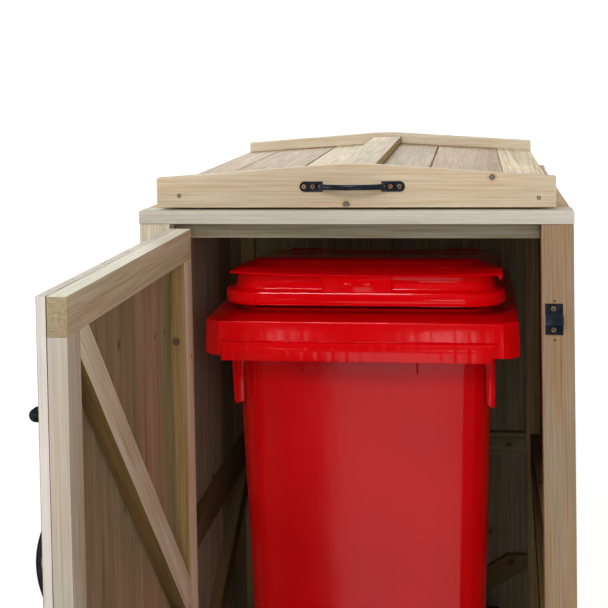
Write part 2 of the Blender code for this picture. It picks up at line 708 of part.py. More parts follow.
def bin_body(slide):
    skirt_foot = RIM_TOP - RIM_SKIRT
    flange = 0.965
    neck_top = RIM_TOP + 0.018
    rings = [
        (0.2175, 0.185, 0.640, 0.045, 0.012),
        (0.2475, 0.150, 0.700, 0.050, flange),
        (RIM_HALF - BIN_WALL, RIM_FRONT + BIN_WALL, RIM_BACK - BIN_WALL, 0.014, flange),
        (RIM_HALF - BIN_WALL, RIM_FRONT + BIN_WALL, RIM_BACK - BIN_WALL, 0.014, skirt_foot),
        (RIM_HALF, RIM_FRONT, RIM_BACK, 0.018, skirt_foot),
        (RIM_HALF - 0.002, RIM_FRONT + 0.001, RIM_BACK - 0.001, 0.018, RIM_TOP),
        (0.245, 0.178, 0.690, 0.050, RIM_TOP),
        (0.245, 0.178, 0.690, 0.050, neck_top),
        (0.240, 0.183, 0.685, 0.045, neck_top),
        (0.240, 0.183, 0.685, 0.045, RIM_TOP - 0.004),
        (0.2425, 0.156, 0.694, 0.045, RIM_TOP - 0.006),
        (0.2425, 0.156, 0.694, 0.045, flange - 0.010),
        (0.2135, 0.189, 0.636, 0.041, 0.012 + BIN_WALL),
    ]
    body = link("bin_body", loft(rings), PLASTIC["red"])
    axle_y = FRONT + AXLE_BACK
    housing_half = 0.195
    add(body, "axle_housing",
        box_mesh((BIN_X - housing_half, FRONT + 0.642, AXLE_HIGH - 0.028),
                 (BIN_X + housing_half, axle_y + 0.020, AXLE_HIGH + 0.032)))
    cut(body, "axle_bore",
        rod_mesh("x", (0, axle_y, AXLE_HIGH), AXLE_RADIUS + BORE_CLEAR, BIN_X - 0.3, BIN_X + 0.3))
    hinge_y = FRONT + BIN_HINGE_BACK
    lug = BIN_LUG
    for side, tag in ((-1, "left"), (1, "right")):
        for part, (inner, outer) in (("inner", (0.150, 0.166)), ("outer", (0.206, 0.222))):
            low, high = sorted((BIN_X + side * inner, BIN_X + side * outer))
            shape = [(FRONT + RIM_BACK - 0.012, RIM_TOP - 0.040),
                     (hinge_y, RIM_TOP - 0.010), (hinge_y + lug, BIN_HINGE_HIGH - lug),
                     (hinge_y + lug, BIN_HINGE_HIGH + lug), (hinge_y - lug, BIN_HINGE_HIGH + lug),
                     (hinge_y - lug, RIM_TOP + 0.006), (FRONT + RIM_BACK - 0.012, RIM_TOP - 0.004)]
            add(body, "hinge_lug_%s_%s" % (part, tag), prism_mesh(shape, "x", low, high))
    grip_y = hinge_y + 0.002
    grip_z = BIN_HINGE_HIGH - 0.036
    add(body, "rear_grip", rod_mesh("x", (0, grip_y, grip_z), 0.0125, BIN_X - 0.158,
                                    BIN_X + 0.158, 20))
    cut(body, "hinge_rod_bore",
        rod_mesh("x", (0, hinge_y, BIN_HINGE_HIGH), ROD_RADIUS + BORE_CLEAR, BIN_X - 0.3,
                 BIN_X + 0.3, 16))
    smooth(body)
    hang(body, slide)


def lid_fall(v):
    """Lower a point of the bin's lid towards its back, the higher parts more."""
    share = min(max((v.co.y - FRONT - LID_FALL_START) / LID_FALL_LONG, 0.0), 1.0)
    rise = v.co.z - RIM_TOP
    v.co.z -= share * rise * (0.234 + 6.0 * max(0.0, rise - 0.047))


def bin_lid(hinge):
    """Lid with a drip skirt, a recessed band and a grip lip all round."""
    back = 0.742
    rings = [
        (0.247, 0.168, back - 0.022, 0.050, 1.062),
        (0.247, 0.168, back - 0.022, 0.050, 1.043),
        (0.2615, 0.1545, back - 0.0065, 0.062, 1.040),
        (0.2615, 0.1545, back - 0.0065, 0.062, 1.016),
        (0.2660, 0.1505, back - 0.0025, 0.066, 1.016),
        (0.2680, 0.1485, back - 0.0005, 0.068, 1.044),
        (0.252, 0.163, back - 0.015, 0.055, 1.048),
        (0.252, 0.163, back - 0.015, 0.055, 1.076),
        (0.262, 0.145, back - 0.004, 0.030, 1.078),
        (0.262, 0.145, back - 0.004, 0.030, 1.083),
        (0.235, 0.180, back - 0.040, 0.060, 1.093),
        (0.190, 0.240, back - 0.100, 0.060, 1.101),
    ]
    shell = loft(rings)
    for v in shell.verts:
        lid_fall(v)
    lid = link("bin_lid", shell, PLASTIC["red"])
    hinge_y = FRONT + BIN_HINGE_BACK
    for side, tag in ((-1, "left"), (1, "right")):
        low, high = sorted((BIN_X + side * 0.1665, BIN_X + side * 0.2055))
        shape = [(FRONT + back - 0.010, BIN_HINGE_HIGH - 0.011),
                 (hinge_y - 0.008, BIN_HINGE_HIGH - 0.008),
                 (hinge_y + 0.006, BIN_HINGE_HIGH - 0.008),
                 (hinge_y + 0.009, BIN_HINGE_HIGH),
                 (hinge_y + 0.006, BIN_HINGE_HIGH + 0.008),
                 (FRONT + back - 0.010, BIN_HINGE_HIGH + 0.002)]
        add(lid, "hinge_arm_" + tag, prism_mesh(shape, "x", low, high))
    cut(lid, "lid_rod_bore",
        rod_mesh("x", (0, hinge_y, BIN_HINGE_HIGH), ROD_RADIUS + BORE_CLEAR, BIN_X - 0.3,
                 BIN_X + 0.3, 16))
    smooth(lid)
    hang(lid, hinge)


def bin_axle_and_wheels(slide):
    y, z = FRONT + AXLE_BACK, AXLE_HIGH
    reach = WHEEL_INNER + WHEEL_WIDE + 0.006
    hang(link("bin_axle", rod_mesh("x", (0, y, z), AXLE_RADIUS, BIN_X - reach, BIN_X + reach),
              METAL["zinc"]), slide)
    hang(link("bin_hinge_rod",
              rod_mesh("x", (0, FRONT + BIN_HINGE_BACK, BIN_HINGE_HIGH), ROD_RADIUS,
                       BIN_X - 0.226, BIN_X + 0.226, 16), METAL["zinc"]), slide)
    bore = AXLE_RADIUS + BORE_CLEAR
    hub = 0.032
    half = WHEEL_WIDE / 2
    dish = 0.010
    shoulder = 0.006
    section = [(bore, -half), (hub, -half), (hub + 0.004, -half + dish),
               (WHEEL_RADIUS - 0.030, -half + dish), (WHEEL_RADIUS - 0.026, -half),
               (WHEEL_RADIUS - shoulder, -half), (WHEEL_RADIUS, -half + shoulder),
               (WHEEL_RADIUS, half - shoulder), (WHEEL_RADIUS - shoulder, half),
               (WHEEL_RADIUS - 0.026, half), (WHEEL_RADIUS - 0.030, half - dish),
               (hub + 0.004, half - dish), (hub, half), (bore, half)]
    segments = 40
    for side, name in ((-1, "left"), (1, "right")):
        bm = bmesh.new()
        rings = []
        for i in range(segments):
            turn = 2 * math.pi * i / segments
            rings.append([bm.verts.new((w, r * math.cos(turn), r * math.sin(turn)))
                          for r, w in section])
        for one, two in zip(rings, rings[1:] + rings[:1]):
            for k in range(len(section)):
                j = (k + 1) % len(section)
                bm.faces.new((one[k], one[j], two[j], two[k]))
        hub_centre = empty("wheel_axis_" + name,
                           (BIN_X + side * (WHEEL_INNER + half), y, z))
        hub_centre.parent = slide
        hub_centre.location = hub_centre.location - slide.location
        wheel = link("bin_wheel_" + name, bm, PLASTIC["rubber"], hub_centre)
        smooth(wheel)


# ---------------------------------------------------------------- assembly
def build():
    clear_scene()
    make_materials()
    front_posts()
    rear_posts()
    walls()
    ledges()
    wall_braces()
    head_rail()
    roof_frame()
    bolt_keep()

    lid_hinge = empty("roof_lid_hinge",
                      (0, FRONT + LID_HINGE_BACK, FRAME_TOP + LID_HINGE_RISE))
    lid_fascias(lid_hinge)
    lid_boards(lid_hinge)
    lid_battens(lid_hinge)
    lid_hinges(lid_hinge)
    lid_pull_place = Vector((0, FRONT + LID_FRONT - GAP, FRAME_TOP + 0.0425))
    bow_handle("lid_pull", lid_hinge, lid_pull_place - lid_hinge.location)

    door_hinge = empty("door_hinge", (HINGE_LINE_X, HINGE_LINE_Y, 0), -DOOR_OPEN)
    door_boards(door_hinge)
    door_frame(door_hinge)
    door_hinges(door_hinge)
    bolt(door_hinge)
    bow_handle("door_pull", door_hinge, (0.615, DOOR_FACE - GAP, 0.817), upright=True)

    bin_slide = empty("bin_slide", (BIN_X, FRONT + AXLE_BACK, 0))
    bin_body(bin_slide)
    bin_axle_and_wheels(bin_slide)
    bin_lid_hinge = empty("bin_lid_hinge", (BIN_X, FRONT + BIN_HINGE_BACK, BIN_HINGE_HIGH))
    bin_lid(bin_lid_hinge)


build()
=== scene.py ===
"""Looks for the timber bin store: planed pine with grain, black ironmongery, a moulded red bin.

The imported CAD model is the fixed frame.  A new piece is shaped from its CAD node's own mesh
or box, rides on that node's body and stands for the node.  Units are metres and +Z is up.
The door side faces -Y.
"""
import json
import math
import random
from collections import namedtuple

import bmesh
import bpy
from mathutils import Matrix, Vector, noise


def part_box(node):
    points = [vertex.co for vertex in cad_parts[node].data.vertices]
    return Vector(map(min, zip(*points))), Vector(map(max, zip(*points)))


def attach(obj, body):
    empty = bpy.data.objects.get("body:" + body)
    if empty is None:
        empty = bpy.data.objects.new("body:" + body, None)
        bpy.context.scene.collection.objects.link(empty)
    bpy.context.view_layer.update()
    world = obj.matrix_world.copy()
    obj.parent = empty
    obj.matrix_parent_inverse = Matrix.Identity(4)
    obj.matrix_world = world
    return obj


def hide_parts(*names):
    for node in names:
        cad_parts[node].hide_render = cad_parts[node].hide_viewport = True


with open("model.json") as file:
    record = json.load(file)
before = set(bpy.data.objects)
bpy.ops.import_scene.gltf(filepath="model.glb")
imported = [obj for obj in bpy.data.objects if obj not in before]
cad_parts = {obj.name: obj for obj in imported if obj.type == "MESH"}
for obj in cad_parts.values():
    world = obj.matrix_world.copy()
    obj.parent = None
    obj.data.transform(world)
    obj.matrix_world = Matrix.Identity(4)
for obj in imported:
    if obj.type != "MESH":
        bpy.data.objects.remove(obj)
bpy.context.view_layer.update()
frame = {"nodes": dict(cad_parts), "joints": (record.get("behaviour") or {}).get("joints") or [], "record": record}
NODES = frame["nodes"]
JOINTS = {joint["name"]: joint for joint in frame["joints"]}
BODY_OF = {node: body for body, members in frame["record"]["behaviour"]["bodies"].items()
           for node in members}

ALONG_X = Vector((1, 0, 0))
ALONG_Y = Vector((0, 1, 0))
ALONG_Z = Vector((0, 0, 1))
HERE = Matrix.Identity(4)


def frame_of(across, inward, along):
    """A frame whose x runs across the boards, y into the wood and z along the boards."""
    return Matrix((across, inward, along)).transposed().to_4x4()


hinge = JOINTS["door_swing"]["pos_m"]
DOOR = (Matrix.Translation((hinge[0], hinge[1], 0.0))
        @ Matrix.Rotation(math.radians(JOINTS["door_swing"]["range_deg"][0]), 4, "Z"))


# ---------------------------------------------------------------- shader graphs
def srgb(red, green, blue):
    """Linear colour from 0-255 display values."""
    def linear(value):
        value /= 255
        return value / 12.92 if value <= 0.04045 else ((value + 0.055) / 1.055) ** 2.4
    return (linear(red), linear(green), linear(blue), 1.0)


class Value:
    """A shader node's output.  Arithmetic on it adds Math nodes."""

    def __init__(self, graph, socket):
        self.graph = graph
        self.socket = socket

    def __add__(self, other):
        return self.graph.maths("ADD", self, other)

    def __sub__(self, other):
        return self.graph.maths("SUBTRACT", self, other)

    def __rsub__(self, other):
        return self.graph.maths("SUBTRACT", other, self)

    def __mul__(self, other):
        return self.graph.maths("MULTIPLY", self, other)

    def __truediv__(self, other):
        return self.graph.maths("DIVIDE", self, other)


class Graph:
    """Shader nodes written as calls: each call adds a node and returns its output."""

    def __init__(self, owner):
        self.owner = owner
        owner.use_nodes = True
        self.tree = owner.node_tree
        self.tree.nodes.clear()

    def node(self, kind, sockets=None, **settings):
        made = self.tree.nodes.new(kind)
        for key, value in settings.items():
            setattr(made, key, value)
        for key, value in (sockets or {}).items():
            socket = made.inputs[key]
            if isinstance(value, Value):
                self.tree.links.new(value.socket, socket)
            else:
                socket.default_value = value
        return made

    def value(self, kind, sockets=None, output=0, **settings):
        return Value(self, self.node(kind, sockets, **settings).outputs[output])

    def attribute(self, name, output="Vector"):
        return self.value("ShaderNodeAttribute", None, output, attribute_name=name)

    def place(self):
        return self.value("ShaderNodeTexCoord", None, "Object")

    def split(self, vector):
        made = self.node("ShaderNodeSeparateXYZ", {0: vector})
        return [Value(self, socket) for socket in made.outputs]

    def join(self, x, y, z):
        return self.value("ShaderNodeCombineXYZ", {0: x, 1: y, 2: z})

    def maths(self, operation, *values, clamp=False):
        return self.value("ShaderNodeMath", dict(enumerate(values)), operation=operation,
                          use_clamp=clamp)

    def larger(self, a, b):
        return self.maths("MAXIMUM", a, b)

    def scaled(self, vector, factors):
        return self.value("ShaderNodeVectorMath", {0: vector, 1: factors},
                          operation="MULTIPLY")

    def moved(self, vector, by):
        return self.value("ShaderNodeVectorMath", {0: vector, 1: by}, operation="ADD")

    def noise(self, place, scale=1.0, detail=2.0, rough=0.5):
        return self.value("ShaderNodeTexNoise", {"Vector": place, "Scale": scale,
                                                 "Detail": detail, "Roughness": rough})

    def fibrous(self, place, along, across, detail=2.0, rough=0.5):
        """Noise with its own scale along the first axis and across it."""
        return self.noise(self.scaled(place, (along, across, across)), 1.0, detail, rough)

    def span(self, value, low, high, to_low=0.0, to_high=1.0):
        """Value's place between low and high, clamped, stretched to a new range."""
        return self.value("ShaderNodeMapRange", {0: value, 1: low, 2: high, 3: to_low,
                                                 4: to_high}, interpolation_type="SMOOTHSTEP")

    def mix(self, share, a, b, blend="MIX"):
        return self.value("ShaderNodeMix", {0: share, 6: a, 7: b}, 2, data_type="RGBA",
                          blend_type=blend)

    def times(self, a, b):
        return self.mix(1.0, a, b, "MULTIPLY")

    def shaded(self, colour, level):
        return self.times(colour, self.join(level, level, level))

    def ramp(self, value, stops):
        made = self.node("ShaderNodeValToRGB", {0: value})
        elements = made.color_ramp.elements
        while len(elements) < len(stops):
            elements.new(0.5)
        for element, (position, level) in zip(elements, stops):
            element.position = position
            element.color = (level, level, level, 1.0)
        return Value(self, made.outputs[0])

    def bump(self, height, distance):
        return self.value("ShaderNodeBump", {"Height": height, "Distance": distance,
                                             "Strength": 1.0})

    def surface(self, colour, roughness, normal, **extra):
        sockets = {"Base Color": colour, "Roughness": roughness, "Normal": normal}
        sockets.update({key.replace("_", " "): value for key, value in extra.items()})
        return self.shown(self.value("ShaderNodeBsdfPrincipled", sockets))

    def diffuse(self, level):
        return self.value("ShaderNodeBsdfDiffuse", {"Color": (*level, 1)})

    def glow(self, kind, strength, colour=(1, 1, 1)):
        return self.value(kind, {"Color": (*colour, 1), "Strength": strength})

    def either(self, share, a, b):
        """Shader a where share is 0 and shader b where it is 1."""
        return self.value("ShaderNodeMixShader", {0: share, 1: a, 2: b})

    def ray(self, kind):
        """1 for the rays that an Is Camera Ray or Is Glossy Ray output names."""
        return self.value("ShaderNodeLightPath", None, kind)

    def shown(self, shader, kind="ShaderNodeOutputMaterial"):
        self.node(kind, {0: shader})
        return self.owner


def material_graph(name):
    return Graph(bpy.data.materials.new(name))


# ---------------------------------------------------------------- pine
Look = namedtuple("Look", "plain stain figure contrast knots narrow")


def look(plain, stain=None, figure=0.4, contrast=0.6, knots=0.0, narrow=None):
    """How a board looks: its plain colour, the colour of its stained patches and its grain.

    figure is 0 for straight grain and 1 for chevrons, contrast scales the growth rings, and
    knots is the share of the usual number of small knots.  narrow is the look of a board's
    narrow faces, where that differs.
    """
    return Look(srgb(*plain)[:3], srgb(*(stain or plain))[:3], figure, contrast, knots, narrow)


EARLY_WOOD = (1.10, 1.11, 1.12, 1)      # shares of a board's plain colour
LATE_WOOD = (0.74, 0.62, 0.45, 1)
KNOT_HALO = (0.74, 0.52, 0.30, 1)
WORN_WOOD = (1.20, 1.20, 1.22, 1)
END_WOOD = (0.92, 0.93, 0.88, 1)
KNOT_CORE = srgb(92, 66, 46)
KNOT_BLUE = srgb(96, 108, 118)
KNOT_RING = srgb(62, 48, 38)
DAMP_WOOD = srgb(112, 100, 78)
KNOT_CELL = (0.38, 0.085)               # a cell along and across the board holds one knot
RING_STOPS = ((0.0, 0.10), (0.45, 0.16), (0.80, 0.80), (0.93, 1.0), (1.0, 0.12))


def pine(name, knots=()):
    """Pine that reads its board's own frame: grain holds (along, across, deep) in metres.

    Rings are shells round a pith line that leans through the board, so a face shows chevrons
    and an end shows arcs.  knots lists extra knots as (place, radius, blueness).
    """
    g = material_graph(name)
    grain = g.attribute("grain")
    figure, contrast, knotty = g.split(g.attribute("figure"))
    seed = g.attribute("seed", "Fac")
    u, v, w = g.split(grain)
    own = g.moved(grain, g.join(seed * 7.31, seed * 3.17, seed * 5.71))

    def drawn(factor):
        """A number from 0 to 1 that differs from board to board."""
        return g.maths("FRACT", seed * factor)

    # knots where a loose grid of cells drops one: its core, its halo and its dark edge
    long, wide = KNOT_CELL
    cells = g.join(u / long + seed * 7.3, v / wide + seed * 3.9, 0.0)
    voronoi = g.node("ShaderNodeTexVoronoi", {"Vector": cells, "Scale": 1.0},
                     voronoi_dimensions="2D").outputs
    centre = g.split(Value(g, voronoi["Position"]))
    chance = g.split(Value(g, voronoi["Color"]))
    here = g.split(cells)
    du = (here[0] - centre[0]) * (long * 0.75)
    dv = (here[1] - centre[1]) * wide
    rub = (g.noise(own, 260.0) - 0.5) * 0.0022
    away = g.maths("SQRT", du * du + dv * dv) + rub
    ratio = away / g.span(chance[1], 0.0, 1.0, 0.0022, 0.0060)
    gate = knotty * g.span(chance[0], 0.60, 0.64)
    core = gate * g.span(ratio, 1.15, 0.75)
    halo = gate * g.span(ratio, 3.6, 0.6)
    dark = gate * (g.span(ratio, 1.35, 1.05) * g.span(ratio, 0.65, 0.95))
    blue = core * 0.0
    for point, size, blueness in knots:
        offset = g.moved(g.place(), tuple(-c for c in point))
        away = g.value("ShaderNodeVectorMath", {0: offset}, "Value", operation="LENGTH") + rub
        one = g.span(away, size * 1.12, size * 0.78)
        edge = g.span(away, size * 1.30, size * 1.05) * g.span(away, size * 0.62, size * 0.95)
        core = g.larger(core, one)
        halo = g.larger(halo, g.span(away, size * 2.8, size * 0.7))
        blue = g.larger(blue, one * blueness)
        dark = g.larger(dark, edge)

    # growth rings, from the distance to the pith line
    warp = g.fibrous(own, 1.3, 6.0) - 0.5
    wobble = g.fibrous(own, 3.0, 34.0) - 0.5
    lean_v = (drawn(5.13) - 0.5) * 0.030
    lean_w = (drawn(9.71) - 0.5) * 0.075 * figure
    pith_v = (drawn(3.37) - 0.5) * 0.06 + (1.0 - figure) * 0.20
    pith_w = drawn(6.73) * 0.05 + 0.022
    rv = v - pith_v + u * lean_v
    rw = w + pith_w + u * lean_w
    reach = g.maths("SQRT", rv * rv + rw * rw)
    reach = reach + (warp * (figure * 0.016 + 0.005) + wobble * 0.0022)
    reach = reach + halo * halo * 0.005
    pitch = drawn(2.91) * 0.0020 + 0.0030
    ring = g.ramp(g.maths("FRACT", reach / pitch), RING_STOPS)
    ring = ring * (contrast * g.span(g.fibrous(own, 0.5, 26.0), 0.3, 0.7, 0.35, 1.0))

    # fine grain, which bends with the rings
    bent = g.moved(own, g.join(0.0, warp * 0.022, 0.0))
    fibre = g.fibrous(bent, 12.0, 520.0, 3.0, 0.65)
    lines = (g.fibrous(bent, 5.5, 230.0) - 0.44) * 1.90 + (g.fibrous(bent, 3.4, 70.0) - 0.44) * 0.90
    lines = lines * g.span(contrast, 0.2, 1.0, 0.35, 1.10)
    share = g.maths("ADD", ring * 0.70 + (fibre - 0.40) * 1.10, lines, clamp=True)

    patch = g.noise(g.scaled(own, (1.4, 15.0, 15.0)), 1.7, 3.0)
    base = g.mix(g.span(patch, 0.36, 0.62), g.attribute("plain"), g.attribute("stain"))
    colour = g.times(base, g.mix(share, EARLY_WOOD, LATE_WOOD))
    colour = g.mix(halo * 0.65, colour, g.times(base, KNOT_HALO))
    colour = g.mix(core * 0.85, colour, g.mix(blue, KNOT_CORE, KNOT_BLUE))
    colour = g.mix(dark * 0.75, colour, KNOT_RING)
    worn = g.attribute("arris", "Fac") * g.span(g.fibrous(own, 18.0, 90.0), 0.4, 0.7, 0.15, 0.7)
    colour = g.mix(worn, colour, g.times(base, WORN_WOOD))
    colour = g.mix(g.attribute("end", "Fac"), colour, g.times(colour, END_WOOD))

    # damp, dirty feet where the timber stands near the ground
    height = g.split(g.place())[2]
    damp = g.span(height, 0.16, 0.0) * g.span(g.noise(own, 14.0, 3.0), 0.3, 0.7, 0.35, 1.0)
    colour = g.mix(damp * 0.65, colour, DAMP_WOOD)
    colour = g.shaded(colour, g.span(g.fibrous(own, 2.2, 9.0, 3.0), 0.2, 0.8, 0.90, 1.08))
    relief = ring * 0.30 + fibre * 0.55 - core * 0.8
    return g.surface(colour, fibre * 0.18 + 0.56, g.bump(relief, 0.00035),
                     Specular_IOR_Level=0.25)


def mark_wood(face, layers, seed, wood):
    """Write the attributes that the pine material reads on a face."""
    face[layers["seed"]] = seed
    face[layers["plain"]] = Vector(wood.plain)
    face[layers["stain"]] = Vector(wood.stain)
    face[layers["figure"]] = Vector((wood.figure, wood.contrast, wood.knots))


def wood_layers(bm):
    """The attributes that the pine material reads."""
    return {"grain": bm.verts.layers.float_vector.new("grain"),
            "plain": bm.faces.layers.float_vector.new("plain"),
            "stain": bm.faces.layers.float_vector.new("stain"),
            "figure": bm.faces.layers.float_vector.new("figure"),
            "seed": bm.faces.layers.float.new("seed"),
            "arris": bm.faces.layers.float.new("arris"),
            "end": bm.faces.layers.float.new("end")}


def node_mesh(node, place):
    """A CAD node's shape as a clean bmesh in a local frame."""
    bm = bmesh.new()
    bm.from_mesh(NODES[node].data)
    bmesh.ops.transform(bm, matrix=place.inverted(), verts=bm.verts)
    bmesh.ops.remove_doubles(bm, verts=bm.verts, dist=1e-5)
    bmesh.ops.dissolve_limit(bm, angle_limit=math.radians(1.0), verts=bm.verts,
                             edges=bm.edges)
    for layers in (bm.loops.layers.uv, bm.loops.layers.color):
        for layer in list(layers.values()):
            layers.remove(layer)
    return bm


def finish_piece(name, bm, place, material, body, stands_for=(), smooth=35):
    """Turn a bmesh into a piece that rides on a body; smooth is its sharp-edge angle."""
    mesh = bpy.data.meshes.new(name)
    bmesh.ops.transform(bm, matrix=place, verts=bm.verts)
    bmesh.ops.recalc_face_normals(bm, faces=bm.faces)
    bm.to_mesh(mesh)
    bm.free()
    mesh.materials.clear()
    mesh.materials.append(material)
    for polygon in mesh.polygons:
        polygon.material_index = 0
    mesh.shade_smooth()
    mesh.set_sharp_from_angle(angle=math.radians(smooth))
    made = bpy.data.objects.new(name, mesh)
    bpy.context.scene.collection.objects.link(made)
    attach(made, body)
    if stands_for:
        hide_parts(*stands_for)


CUT_STEP = 0.07             # a board is cut crosswise this often, so that it can waver
WAVER = 0.0003
WAVER_SCALE = 5.0


def timber(node, direction, normal, material, slot, wood, place=HERE, arris=0.0018, sharp=28):
    """A board in place of a CAD board: rounded arrises, slightly uneven, its grain marked."""
    direction = direction.normalized()
    across = normal.cross(direction)
    seed = 0.05 + (sum(ord(c) * (i + 3) for i, c in enumerate(node)) % 97) / 97
    bm = node_mesh(node, place)
    layers = wood_layers(bm)
    edges = [e for e in bm.edges if e.is_manifold and e.calc_face_angle(0) > math.radians(sharp)]
    rounded = bmesh.ops.bevel(bm, geom=edges, offset=arris, segments=2, profile=0.6,
                              affect="EDGES", clamp_overlap=True)["faces"]
    for face in rounded:
        face[layers["arris"]] = 1.0
    reach = [v.co.dot(direction) for v in bm.verts]
    start, end = min(reach), max(reach)
    cuts = max(1, round((end - start) / CUT_STEP))
    for i in range(1, cuts):
        point = direction * (start + (end - start) * i / cuts)
        bmesh.ops.bisect_plane(bm, geom=bm.verts[:] + bm.edges[:] + bm.faces[:],
                               plane_co=point, plane_no=direction, dist=1e-6)
    low, high = extent(bm)
    middle = (low + high) / 2
    for v in bm.verts:
        offset = v.co - middle
        v[layers["grain"]] = Vector([offset.dot(axis) for axis in (direction, across, normal)])
    bm.normal_update()
    for face in bm.faces:
        on_side = wood.narrow is not None and abs(face.normal.dot(across)) > 0.75
        mark_wood(face, layers, seed, wood.narrow if on_side else wood)
        face[layers["end"]] = 1.0 if abs(face.normal.dot(direction)) > 0.8 else 0.0
    shake = Vector((seed * 13.7, seed * 5.1, seed * 9.3))
    for v in bm.verts:
        point = v.co * WAVER_SCALE + shake
        v.co += Vector([noise.noise(point + ALONG_Z * 19.0 * i) for i in range(3)]) * WAVER
    finish_piece(node + "_timber", bm, place, material, BODY_OF[node], (node,))


# ---------------------------------------------------------------- tongue-and-groove boards
V_WIDE = 0.0026             # half of a V joint
V_DEEP = 0.0030
TONGUE = 0.0050
HAIRLINE = 0.0004
EASED = 0.0005              # the inner faces meet with hardly any chamfer
OUTER_ARRIS = 0.0012
TONGUE_SHARE = 0.16         # half a tongue's thickness, as a share of the board's
BOARD_WAVE = 0.0004
LEVEL_STEP = 0.08


def board_outline(start, end, near, far, first, last):
    """Plan of one board: chamfered joints, with a groove on its left and a tongue right."""
    middle = (near + far) / 2
    cheek = (far - near) * TONGUE_SHARE
    cut_a, deep_a = (OUTER_ARRIS, OUTER_ARRIS) if first else (V_WIDE, V_DEEP)
    cut_b, deep_b = (OUTER_ARRIS, OUTER_ARRIS) if last else (V_WIDE, V_DEEP)
    end -= 0.0 if last else HAIRLINE
    outline = [(start, near + deep_a), (start + cut_a, near), (end - cut_b, near),
               (end, near + deep_b)]
    if not last:
        outline += [(end, middle - cheek), (end + TONGUE, middle - cheek),
                    (end + TONGUE, middle + cheek), (end, middle + cheek)]
    outline += [(end, far - EASED), (end - EASED, far), (start + EASED, far),
                (start, far - EASED)]
    if not first:
        slot = cheek + 0.0003
        inner = start + TONGUE + 0.0008
        outline += [(start, middle + slot), (inner, middle + slot),
                    (inner, middle - slot), (start, middle - slot)]
    return outline


def boarded(node, place, joints, material, looks, spread=0.05, edge=None, outer=None):
    """A run of separate boards in place of a CAD panel, along the frame's z.

    edge is the look of the boards' ends and of the outermost edges, and outer the looks of
    their outer faces, where those differ.
    """
    low, high = local_box(node, place)
    rng = random.Random(node)
    edges = [low.x] + [low.x + (high.x - low.x) * j for j in joints] + [high.x]
    whole = bmesh.new()
    layers = wood_layers(whole)
    levels = max(6, round((high.z - low.z) / LEVEL_STEP))
    for k, (start, end) in enumerate(zip(edges, edges[1:])):
        outline = board_outline(start, end, low.y, high.y, k == 0, k == len(edges) - 2)
        base = looks[k % len(looks)]
        change = 1 + rng.uniform(-spread, spread)
        wood = base._replace(plain=tuple(c * change for c in base.plain))
        seed = rng.random()
        middle = Vector(((start + end) / 2, (low.y + high.y) / 2, (low.z + high.z) / 2))
        shake = Vector((seed * 17, seed * 31, seed * 7))
        rings = []
        for i in range(levels + 1):
            z = low.z + (high.z - low.z) * i / levels
            ring = []
            for x, y in outline:
                v = whole.verts.new((x, y, z))
                grain = Vector((z - middle.z, middle.x - x, middle.y - y))
                v[layers["grain"]] = grain
                v.co.y += noise.noise(Vector((x * 2, 0, z * 3)) + shake) * BOARD_WAVE
                ring.append(v)
            rings.append(ring)
        count = len(outline)
        for one, two in zip(rings, rings[1:]):
            for i in range(count):
                j = (i + 1) % count
                face = whole.faces.new((one[i], one[j], two[j], two[i]))
                here = wood
                if edge and outline[i][0] == outline[j][0] in (edges[0], edges[-1]):
                    here = edge
                elif outer and outline[i][1] == outline[j][1] == low.y:
                    here = outer[k % len(outer)]
                mark_wood(face, layers, seed, here)
                if abs(outline[i][0] - outline[j][0]) < 0.004:
                    face[layers["arris"]] = 0.35 if outline[i][1] != outline[j][1] else 0.0
        for ring in (rings[0], rings[-1]):
            face = whole.faces.new(ring)
            face[layers["end"]] = 1.0
            mark_wood(face, layers, seed, edge or wood)
    finish_piece(node + "_run", whole, place, material, BODY_OF[node], (node,), 20)


def evenly(count):
    return [i / count for i in range(1, count)]


# ---------------------------------------------------------------- shapes
def skin(bm, rows, caps=True):
    """Join closed rows of vertices with faces, and cap the first and last row."""
    for one, two in zip(rows, rows[1:]):
        for k in range(len(one)):
            j = (k + 1) % len(one)
            bm.faces.new((one[k], one[j], two[j], two[k]))
    if caps:
        bm.faces.new(list(reversed(rows[0])))
        bm.faces.new(rows[-1])


def merge(bm, part):
    """Copy one bmesh into another, with its faces turned outwards."""
    bmesh.ops.recalc_face_normals(part, faces=part.faces)
    mesh = bpy.data.meshes.new("part")
    part.to_mesh(mesh)
    part.free()
    bm.from_mesh(mesh)
    bpy.data.meshes.remove(mesh)


def prism(bm, outline, axis, start, end, bevel=0.0015, segments=2):
    """Extrude an outline along x or y and round its edges; other coordinates in xyz order."""
    part = bmesh.new()
    rows = []
    for c in (start, end):
        rows.append([part.verts.new((c, a, b) if axis == "x" else (a, c, b))
                     for a, b in outline])
        part.faces.new(rows[-1])
    skin(part, rows, caps=False)
    bmesh.ops.recalc_face_normals(part, faces=part.faces)
    if bevel:
        edges = [e for e in part.edges if e.calc_face_angle(0) > math.radians(25)]
        bmesh.ops.bevel(part, geom=edges, offset=bevel, segments=segments, profile=0.5,
                        affect="EDGES", clamp_overlap=True)
    merge(bm, part)


def turned(bm, profile, place, segments, ring=False):
    """Spin a (radius, height) profile round the frame's z axis.  A ring's profile is closed."""
    rows = []
    for radius, height in profile:
        turns = [2 * math.pi * i / segments for i in range(segments)]
        rows.append([bm.verts.new(place @ Vector((radius * math.cos(t), radius * math.sin(t),
                                                  height))) for t in turns])
    skin(bm, rows + rows[:1] if ring else rows, caps=not ring)


def facing(point, normal, turn=0.0):
    """A frame at a point whose z axis is a given direction."""
    return (Matrix.Translation(point) @ normal.to_track_quat("Z", "Y").to_matrix().to_4x4()
            @ Matrix.Rotation(turn, 4, "Z"))


def middle_of(node):
    """The middle of a CAD node's box."""
    low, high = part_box(node)
    return (low + high) / 2


